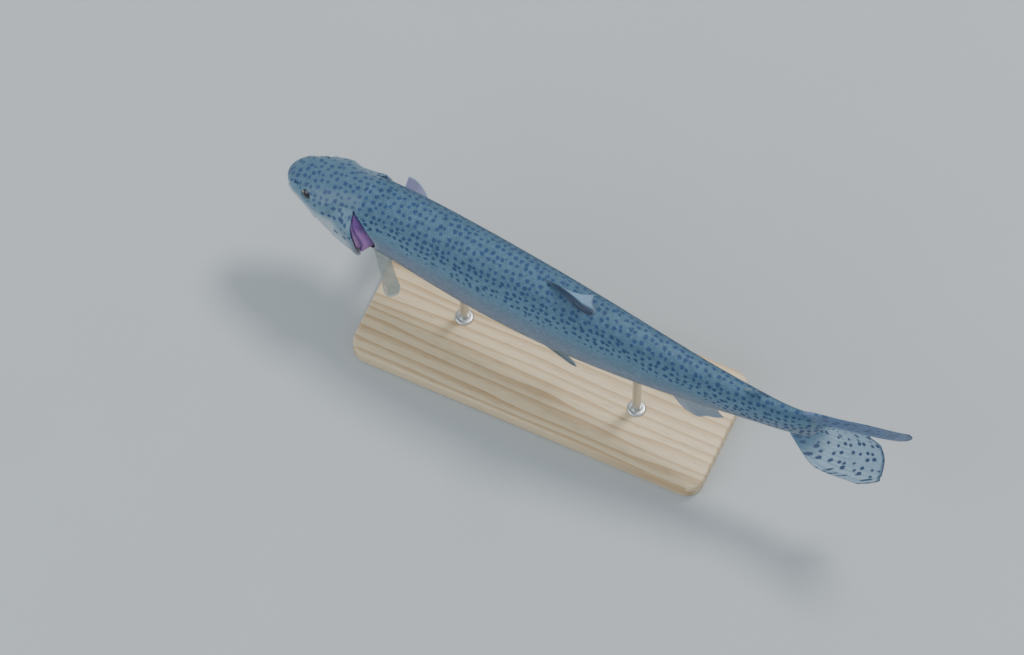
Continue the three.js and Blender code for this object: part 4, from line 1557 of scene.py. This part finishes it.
@dataclass(frozen=True)
class Gills:
    """The gills of one side: arches side by side under the cover, each a comb of filaments.

    Attributes:
        room: gap they keep from the chamber's floor, the cover and the shoulder.
        cover: how thick the cover is taken to be.
        valley: depth of the gaps between arches.
        filament: distance between filaments.
        notch: depth of the grooves between them.
        bow: radius of the bow that they are spread on.
    """

    form: TroutForm
    start: float = 49.0
    top: float = 50.0
    foot: float = 144.0
    room: float = 1.2
    cover: float = 2.0
    arches: int = 4
    valley: float = 1.9
    filament: float = 0.62
    notch: float = 0.28
    bow: float = 24.0
    rows: int = 64
    columns: int = 300

    def build(self, name: str, side: float, finish: Material) -> Piece:
        """Makes the gills of one side as a closed, ribbed crescent.

        Its outer face lies just under the body's surface and the cover. Arches are the humps of
        |sin|, and filaments a fine wave along them, so each arch reads as a comb.

        Args:
            name: the piece's name.
            side: +1 or -1.
    
        Returns:
            The piece.
        """
        form = self.form
        t, v = np.meshgrid(
            np.linspace(0, 1, self.rows), np.linspace(self.top, self.foot, self.columns),
            indexing="ij",
        )
        s = mix(self.start, form.shoulder_edge(v) - self.room, t)
        out, up = form.section(s, v)
        under = form.cover_lift(s, v, np.full_like(s, side)) - self.cover
        slit = form.shoulder_edge(v) - form.cover_edge(v)
        shown = ease(0, 1, (form.shoulder_edge(v) - s) / slit)
        floor = out - form.chamber_depth(s) + self.room
        roof = out + np.where(under > 0, under * shown, under) - self.room
        arch = np.abs(np.sin(np.pi * self.arches * t**0.9)) ** 0.6
        run = (v - self.top) / 180 * np.pi * self.bow
        rib = 0.5 + 0.5 * np.cos(2 * np.pi * run / self.filament + 9 * t)
        down = (v - self.top) / (self.foot - self.top)
        ends = ease(0, 0.06, down) * ease(1, 0.94, down)
        height = (roof - floor) * (0.25 + 0.75 * ends)
        height = height - (1 - arch) * self.valley - rib * arch * self.notch
        outer = form.place(s, side * (floor + np.maximum(height, 0.4)), up)
        inner = form.place(s, side * floor, up)
        piece = lofted(name, np.concatenate((outer, inner[:, ::-1]), axis=1))
        # Painted shadow: darker at the top of the slit and towards the shoulder.
        shadow = ease(0.36, 0.04, down) + ease(0.7, 1.0, t) * 0.8
        # Painted shade: low in the gaps between arches and between filaments, where the deep
        # colour goes.
        between = arch**2.2 * (1 - 0.35 * rib)
        comb = np.stack([between, ease(0.35, 0.85, t), np.clip(shadow, 0, 1)], -1)
        keep_values(piece, "comb", np.concatenate((comb, comb[:, ::-1]), axis=1).reshape(-1, 3))
        piece.data.materials.append(finish)
        return piece


# ---------------------------------------- eyes


@dataclass(frozen=True)
class EyeFinish:
    """A trout's eye: a clear wet cornea over a pale gold iris with a dark, egg-shaped pupil.

    Attributes:
        ring: colour of the bright ring round the pupil.
        shade: colour of the painted shade on the iris's upper rear part, and of the eye's rim.
        radius: radius of the pupil in millimetres.
    """

    pupil: str = "05070A"
    ring: str = "E6D49C"
    iris: str = "C8CFB4"
    shade: str = "16202A"
    radius: float = 2.6

    def material(self) -> Material:
        """Paints rings round the eye's axis; the cornea shows as a full, smooth clear coat."""
        material, tree = new_material("Eye, clear cornea over gold iris")
        gaze = node(tree, "Attribute", {}, attribute_name="gaze").outputs["Vector"]
        far, point, high = node(tree, "SeparateXYZ", {0: gaze}).outputs
        streak = node(tree, "TexNoise", {"Vector": gaze, "Scale": 1.7, "Detail": 3.0})
        ringed = node(tree, "MapRange", {
            0: far, 1: self.radius + 0.25, 2: self.radius + 1.1,
        }, **SMOOTH)
        iris = node(tree, "Mix", {
            0: ringed, 6: linear(self.ring), 7: linear(self.iris),
        }, **COLOURS)
        # Painted shade: the iris darkens towards its top and rear, leaving a lit crescent low at
        # the front.
        painted_shade_level = node(tree, "Math", {0: streak, 1: 0.5, 2: high}, operation="MULTIPLY_ADD")
        iris_painted_shade = node(tree, "MapRange", {0: painted_shade_level, 1: 0.0, 2: 0.4}, **SMOOTH)
        shaded = node(tree, "Mix", {0: iris_painted_shade, 6: iris, 7: linear(self.shade)}, **COLOURS)
        border = node(tree, "MapRange", {
            0: far, 1: self.radius + 2.1, 2: self.radius + 2.6,
        }, **SMOOTH)
        rimmed = node(tree, "Mix", {0: border, 6: shaded, 7: linear(self.shade)}, **COLOURS)
        hole = node(tree, "MapRange", {
            0: point, 1: self.radius + 0.08, 2: self.radius - 0.08,
        }, **SMOOTH)
        dark = node(tree, "Mix", {0: hole, 6: rimmed, 7: linear(self.pupil)}, **COLOURS)
        finish_surface(tree, {
            "Base Color": dark, "Roughness": 0.28, "IOR": 1.38,
            "Coat Weight": 1.0, "Coat Roughness": 0.03, "Coat IOR": 1.38,
        })
        return material


@dataclass(frozen=True)
class Eyeball:
    """An eyeball turned about its own axis, with a cornea that bulges a little over it."""

    relief: HeadRelief
    bulge: float = 0.2
    rings: int = 72
    around: int = 96

    def build(self, name: str, side: float, finish: Material) -> Piece:
        """Makes one eye.

        Points lie at radius + bulge * bell(angle from the axis), turned round the axis. The
        pupil's edge is told by a distance that shrinks ahead, so that it draws to a point.

        Args:
            name: the piece's name.
            side: +1 or -1.
    
        Returns:
            The piece.
        """
        middle, axis = self.relief.eye_axis(side, 0.28)
        ahead = self.relief.form.direction(self.relief.eye.s, -1.0, 0.0, -0.25)
        ahead = unit(ahead - (ahead @ axis) * axis)
        over = np.cross(ahead, axis) * side
        fall, turn = np.meshgrid(
            np.linspace(0.004, np.pi - 0.004, self.rings),
            (np.arange(self.around) + 0.5) * 2 * np.pi / self.around, indexing="ij",
        )
        radius = self.relief.eye.radius - 0.25 + self.bulge * bell(fall, 0.75)
        x = radius * np.sin(fall) * np.cos(turn)
        y = radius * np.sin(fall) * np.sin(turn)
        z = radius * np.cos(fall)
        grid = middle + x[..., None] * ahead + y[..., None] * over + z[..., None] * axis
        piece = lofted(name, grid)
        front = np.where(z > 0, 0.0, 20.0)
        far = np.hypot(x, y) + front
        point = np.hypot(x - 0.35 * np.clip(x, 0, None), y * (1 + 0.22 * ease(0, 2.6, x))) + front
        # The third share grows towards the eye's top and rear, where the iris takes painted shade.
        gaze = np.stack([far, point, (y - x) / 6], -1)
        keep_values(piece, "gaze", gaze.reshape(-1, 3))
        piece.data.materials.append(finish)
        return piece


# ---------------------------------------- the stand


@dataclass(frozen=True)
class OiledAsh:
    """Ash, planed and oiled: pale, with long brown growth lines and short open pores.

    Attributes:
        ring: distance between growth lines in millimetres.
        pore: width of the pores.
    """

    early: str = "D9C4A0"
    late: str = "B4936A"
    ring: float = 3.4
    pore: float = 0.55

    def material(self) -> Material:
        """Growth rings are a distorted wave across the plank, and pores a stretched noise."""
        material, tree = new_material("Ash, planed and oiled")
        place = node(tree, "TexCoord", {}).outputs["Object"]
        drawn = node(tree, "Mapping", {
            "Vector": place, "Scale": (0.07, 1.0, 1.0), "Rotation": (0.14, 0.0, 0.03),
        })
        wander = node(tree, "TexNoise", {"Vector": drawn, "Scale": 1 / (26 * MM), "Detail": 2.0})
        rings = node(tree, "TexWave", {
            "Vector": drawn, "Scale": 1 / (self.ring * MM) / 6.3, "Distortion": 7.0,
            "Detail": 2.0, "Detail Scale": 1.4,
        }, bands_direction="Y", wave_profile="SAW")
        pores = node(tree, "Mapping", {"Vector": place, "Scale": (0.05, 1.0, 1.0)})
        pore = node(tree, "TexNoise", {
            "Vector": pores, "Scale": 1 / (self.pore * MM), "Detail": 2.0,
        })
        line = node(tree, "MapRange", {0: rings.outputs["Fac"], 1: 0.45, 2: 1.0, 3: 0.0, 4: 0.85})
        wood = node(tree, "Mix", {0: line, 6: linear(self.early), 7: linear(self.late)}, **COLOURS)
        fleck = node(tree, "MapRange", {0: pore, 1: 0.56, 2: 0.72, 3: 1.0, 4: 0.72})
        warm = node(tree, "MapRange", {0: wander, 3: 0.9, 4: 1.1})
        both = node(tree, "Math", {0: fleck, 1: warm}, operation="MULTIPLY")
        toned = node(tree, "Mix", {0: 1.0, 6: wood, 7: both}, **TINT)
        bump = node(tree, "Bump", {"Height": fleck, "Strength": 0.3, "Distance": 0.08 * MM})
        finish_surface(tree, {"Base Color": toned, "Roughness": 0.48, "Normal": bump})
        return material


@dataclass(frozen=True)
class GroundSteel:
    """Stainless steel, centreless ground: a soft metal gleam with fine rings round the rod.

    Attributes:
        ring: distance between the rings, drawn coarser than real ones so that they show.
    """

    colour: str = "C4C7C9"
    ring: float = 0.4

    def material(self) -> Material:
        """The grinding shows as a fine change of roughness up the rod."""
        material, tree = new_material("Stainless steel, ground")
        place = node(tree, "TexCoord", {}).outputs["Object"]
        drawn = node(tree, "Mapping", {"Vector": place, "Scale": (0.1, 0.1, 1.0)})
        marks = node(tree, "TexNoise", {
            "Vector": drawn, "Scale": 1 / (self.ring * MM), "Detail": 2.0,
        })
        rough = node(tree, "MapRange", {0: marks, 3: 0.22, 4: 0.42})
        finish_surface(tree, {
            "Base Color": linear(self.colour), "Metallic": 1.0, "Roughness": rough,
        })
        return material


@dataclass(frozen=True)
class DisplayStand:
    """A flat ash plate with two steel rods that hold the fish under its belly.

    Attributes:
        bevel: radius of the rounding of its upper and lower edge.
        collar: radius and height of the collars at their feet.
        feet: lengths along the fish's axis over which they stand.
    """

    form: TroutForm
    length: float = 250.0
    width: float = 92.0
    thickness: float = 12.0
    corner: float = 12.0
    bevel: float = 1.5
    rod: float = 6.0
    collar: tuple[float, float] = (6.4, 1.6)
    feet: tuple[float, float] = (132.0, 262.0)

    def plate(self) -> Piece:
        """The base: a rounded rectangle's outline, drawn in by the bevel at top and bottom.

        The outline is four quarter circles on the corners of the inner rectangle. Each ring up
        the edge is that outline moved in by bevel * (1 - cos) and up by bevel * (1 - sin).
        """
        middle = (self.form.place(self.feet[0], 0, 0) + self.form.place(self.feet[1], 0, 0)) / 2
        angle = (np.arange(96) + 0.5) * 2 * np.pi / 96 - np.pi / 2
        quarter = np.floor(((angle + np.pi / 2) % (2 * np.pi)) / (np.pi / 2)).astype(int)
        sign_x = np.array([1, 1, -1, -1])[quarter]
        sign_y = np.array([-1, 1, 1, -1])[quarter]
        bends = np.linspace(0, np.pi / 2, 6)
        inward = self.bevel * (1 - np.sin(bends))
        level = self.bevel * (1 - np.cos(bends))
        inward = np.concatenate((inward, inward[::-1]))
        level = np.concatenate((level, self.thickness - level[::-1]))
        round_ = self.corner - inward[:, None]
        x = sign_x * (self.length / 2 - self.corner) + round_ * np.cos(angle)
        y = sign_y * (self.width / 2 - self.corner) + round_ * np.sin(angle)
        rings = np.stack([x + middle[0], y + middle[1], level[:, None] + 0 * x], -1)
        piece = lofted("stand_plate", rings)
        piece.data.set_sharp_from_angle(angle=math.radians(40))
        return piece

    def rods(self) -> list[Piece]:
        """The rods, each a turned profile with a small domed collar on the plate."""
        made = []
        for name, s in zip(("front", "rear"), self.feet):
            foot = self.form.place(s, 0, 0)
            top = foot[2] + float(self.form.belly(s)) + 2.5
            base = self.thickness
            radius = self.rod / 2
            wide, high = self.collar
            bends = np.linspace(0, np.pi / 2, 7)
            collar = np.stack([wide - high * (1 - np.cos(bends)), base + high * np.sin(bends)], -1)
            profile = np.concatenate((
                [[0.05, base - 3.0], [wide, base - 3.0]], collar,
                [[radius + 0.5, base + high], [radius, base + 2.1]],
                [[radius, z] for z in np.linspace(base + 4, top, 6)], [[0.05, top]],
            ))
            angle = (np.arange(64) + 0.5) * 2 * np.pi / 64
            rings = np.stack([
                foot[0] + profile[:, :1] * np.cos(angle),
                foot[1] + profile[:, :1] * np.sin(angle),
                profile[:, 1:] + 0 * angle,
            ], -1)
            piece = lofted(f"stand_steel_{name}", rings)
            piece.data.set_sharp_from_angle(angle=math.radians(35))
            made.append(piece)
        return made


# ---------------------------------------- floor, light and camera


@dataclass(frozen=True)
class Studio:
    """A plain pale floor, a broad soft light from behind on the right, and the camera.

    Attributes:
        azimuth: the way to the camera, in degrees round from the front to the right.
        view_width: width of what the camera sees at its target.
        reach: half the floor's side.
        lamps: name, place in metres, width, power and colour of each lamp.
    """

    azimuth: float = 24.6
    elevation: float = 66.0
    target: tuple[float, float, float] = (-54.4, -17.9, 59.2)
    view_width: float = 665.0
    lens: float = 400.0
    floor: str = "B4BABE"
    reach: float = 60000.0
    lamps: tuple[tuple[str, tuple[float, float, float], float, float, str], ...] = (
        ("key", (0.62, 1.2, 2.6), 0.7, 52.0, "FFFDF8"),
        ("fill", (-1.6, -1.7, 1.6), 2.4, 32.0, "EAF3FB"),
    )
    sky: str = "E6ECF0"
    sky_strength: float = 0.75

    def place_camera(self) -> None:
        """Puts a long lens where the view is view_width wide at the target."""
        data = bpy.data.cameras.new("camera")
        data.lens = self.lens
        camera = bpy.data.objects.new("camera", data)
        bpy.context.scene.collection.objects.link(camera)
        a, e = math.radians(self.azimuth), math.radians(self.elevation)
        back = Vector((math.sin(a) * math.cos(e), -math.cos(a) * math.cos(e), math.sin(e)))
        distance = self.view_width * MM / 2 / (data.sensor_width / 2 / data.lens)
        camera.location = Vector(self.target) * MM + back * distance
        camera.rotation_euler = back.to_track_quat("Z", "Y").to_euler()
        right = Vector((math.cos(a), math.sin(a), 0))
        turned = camera.rotation_euler.to_matrix() @ Vector((1, 0, 0))
        if turned.dot(right) < 0.99:
            raise RuntimeError("the camera is rolled")
        data.clip_start, data.clip_end = 0.05, 200.0
        bpy.context.scene.camera = camera

    def lay_floor(self) -> None:
        """A wide matt floor, with a barely visible cloudiness."""
        material, tree = new_material("Pale paper, matt")
        place = node(tree, "TexCoord", {}).outputs["Object"]
        cloud = node(tree, "TexNoise", {"Vector": place, "Scale": 9.0, "Detail": 3.0})
        tone = node(tree, "MapRange", {0: cloud, 3: 0.97, 4: 1.03})
        colour = node(tree, "Mix", {0: 1.0, 6: linear(self.floor), 7: tone}, **TINT)
        finish_surface(tree, {"Base Color": colour, "Roughness": 0.9})
        points = np.array([[-1, -1, 0], [1, -1, 0], [1, 1, 0], [-1, 1, 0]]) * self.reach
        floor = mesh_piece("floor", points, np.arange(4), np.array([4]))
        floor.data.materials.append(material)

    def hang_lights(self) -> None:
        """One broad key from behind on the right, a wide fill from the left and a pale sky."""
        for name, place, size, power, colour in self.lamps:
            data = bpy.data.lights.new(name, "AREA")
            data.shape = "DISK"
            data.size = size
            data.energy = power
            data.color = linear(colour)[:3]
            lamp = bpy.data.objects.new(name, data)
            lamp.location = place
            away = Vector(place) - Vector((0, 0, 0.1))
            lamp.rotation_euler = away.to_track_quat("Z", "Y").to_euler()
            bpy.context.scene.collection.objects.link(lamp)
        world = bpy.data.worlds.new("sky")
        world.use_nodes = True
        background = world.node_tree.nodes["Background"]
        background.inputs["Color"].default_value = linear(self.sky)
        background.inputs["Strength"].default_value = self.sky_strength
        bpy.context.scene.world = world


# ---------------------------------------- the whole model


class Side(Enum):
    """The fish's two sides, as the sign of a distance to its left."""

    LEFT = 1.0
    RIGHT = -1.0


FLESH = (
    "head", "jaw_lower", "gill_cover_left", "gill_cover_right", "trunk_front", "trunk_middle",
    "trunk_hind", "trunk_vent", "tail_stalk",
)


@dataclass(frozen=True)
class Trout:
    """The fish, with skin, scales, fins, gills and eyes, on its stand.

    Attributes:
        inset: how far the skin lies inside that form, which leaves room for the scales.
    """

    form: TroutForm = TroutForm()
    inset: float = 0.42

    def dress(self, piece: Piece, slot: str, *nodes: str) -> None:
        """Hides the parts that the piece replaces, and reports it."""
        if nodes:
            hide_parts(*nodes)
        self.report(piece)

    def report(self, piece: Piece) -> None:
        """Makes the piece ride on the one body and logs its size."""
        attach(piece, "root")
        faces = len(piece.data.loops) - 2 * len(piece.data.polygons)
        log.info("%s: %d triangles", piece.name, faces)

    def build_flesh(self, sheet: Unrolled, relief: HeadRelief) -> None:
        """The skin and the scales over it."""
        skin = FleshSkin(self.form, sheet, relief).build()
        skin.data.materials.append(WetSkin(MARKINGS).material())
        self.dress(skin, "skin", *FLESH)
        finish = ScaleFinish(MARKINGS).material()
        coat = ScaleCoat(self.form, sheet)
        for side in Side:
            for upper in (True, False):
                name = f"scales_{side.name.lower()}_{'upper' if upper else 'lower'}"
                piece = coat.build(name, side.value, upper)
                piece.data.materials.append(finish)
                self.dress(piece, "skin")

    def build_head_parts(self, relief: HeadRelief) -> None:
        """The gills and the eyes."""
        gill, eye = GillFinish().material(), EyeFinish().material()
        for side in Side:
            name = side.name.lower()
            combs = Gills(self.form).build(f"gill_combs_{name}", side.value, gill)
            self.dress(combs, "gill", f"gills_{name}")
            ball = Eyeball(relief).build(f"eyeball_{name}", side.value, eye)
            self.dress(ball, "eye", f"eye_{name}")

    def build_midline_fins(self) -> None:
        """The dorsal, adipose and anal fins and the tail."""
        # The dorsal fin's first rays are near black: partly their own pigment, partly painted
        # shade along the folded fin's leading edge.
        dorsal = FinFinish(
            "Dorsal fin, spotted web on rays", "53748D", "82A8C6", "7390AA", "5A6E86", 0.85,
            lead="22344C", led=(0.36, 0.24),
        )
        adipose = FinFinish(
            "Adipose fin, fleshy", "53748D", "53748D", "5E7F98", "2C4056", 0.97, 6.0
        )
        anal = FinFinish(
            "Anal fin, clear web on rays", "7F93A4", "8FA2B0", "74869A", "A9BAC4", 0.6
        )
        tail = FinFinish(
            "Tail fin, spotted web on rays", "53748D", "A8C6DC", "93B0C8", "44587A", 0.62, 6.4,
            lead="587092", led=(0.55, 0.72), spot="3C5274",
        )
        fins = (
            (Fin("fin_dorsal", dorsal, 12, 1.8, 41), MidlineFin(
                190, 219, 1, (73, 48), (52, -25),
                SmoothCurve(((0, 42), (0.12, 42), (0.5, 27), (1, 11))),
            )),
            (Fin("fin_adipose", adipose, 0, 2.4, 13, 0.2), MidlineFin(
                336, 344, 1, (50, 62), (6, 6), SmoothCurve(((0, 12), (0.5, 13), (1, 10)))
            )),
            (Fin("fin_anal", anal, 11, 1.7, 28), MidlineFin(
                279, 313, -1, (46, 48), (12, 18),
                SmoothCurve(((0, 24), (0.18, 28), (0.5, 23), (1, 15))),
            )),
            (Fin("fin_caudal", tail, 19, 2.4, 68), TailFin()),
        )
        for fin, shape in fins:
            self.report(fin.build(shape.sheet(self.form)))

    def build_paired_fins(self) -> None:
        """The pectoral and pelvic fins."""
        olive = FinFinish(
            "Pectoral fin, clear olive web", "98A09A", "AAB2AC", "9AA29E", "CFDCDE", 0.3,
            lead="C4D4DA",
        )
        mauve = FinFinish(
            "Pectoral fin, clear mauve web", "74749A", "888CB2", "74789E", "BFE0EA", 0.55,
            lead="6C6A94", led=(0.5, 0.2),
        )
        grey = FinFinish(
            "Pelvic fin, clear grey web", "7E90A0", "8FA0AC", "7A8C9C", "A9B8C0", 0.6
        )
        breast = SmoothCurve(((0, 51), (0.12, 53), (0.5, 45), (0.85, 34), (1, 28)))
        hip = SmoothCurve(((0, 32), (0.2, 34), (0.6, 29), (1, 20)))
        rays = {
            Side.LEFT: (olive, (9, 7, -51), (16, 5, -32)),
            Side.RIGHT: (mauve, (-14, 31, -30), (3, 24, -22)),
        }
        for side, (finish, lead, last) in rays.items():
            name = side.name.lower()
            fin = Fin(f"fin_pectoral_{name}", finish, 13, 1.8, 53)
            shape = PairedFin(side.value, 71.5, 11, 127, 6, lead, last, breast, 4)
            self.report(fin.build(shape.sheet(self.form)))
            fin = Fin(f"fin_pelvic_{name}", grey, 10, 1.7, 34)
            shape = PairedFin(side.value, 187, 9, 141, 9, (30, 3, -5), (30, 1, -4), hip, 2)
            self.report(fin.build(shape.sheet(self.form)))

    def build_stand(self) -> None:
        """The plate and the rods."""
        stand = DisplayStand(self.form)
        plate = stand.plate()
        plate.data.materials.append(OiledAsh().material())
        self.dress(plate, "base", "stand_base")
        steel = GroundSteel().material()
        for rod, name in zip(stand.rods(), ("stand_rod_front", "stand_rod_rear")):
            rod.data.materials.append(steel)
            self.dress(rod, "rod", name)

    def build(self) -> None:
        """Builds every piece in order."""
        sheet = Unrolled(self.form, self.inset)
        relief = HeadRelief(self.form, sheet)
        self.build_flesh(sheet, relief)
        self.build_head_parts(relief)
        self.build_midline_fins()
        self.build_paired_fins()
        self.build_stand()


def main() -> None:
    """Builds the studio and the trout."""
    logging.basicConfig(level=logging.INFO, format="%(name)s %(message)s")
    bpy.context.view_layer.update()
    studio = Studio()
    studio.place_camera()
    studio.lay_floor()
    studio.hang_lights()
    Trout().build()


if __name__ == "__main__":
    main()
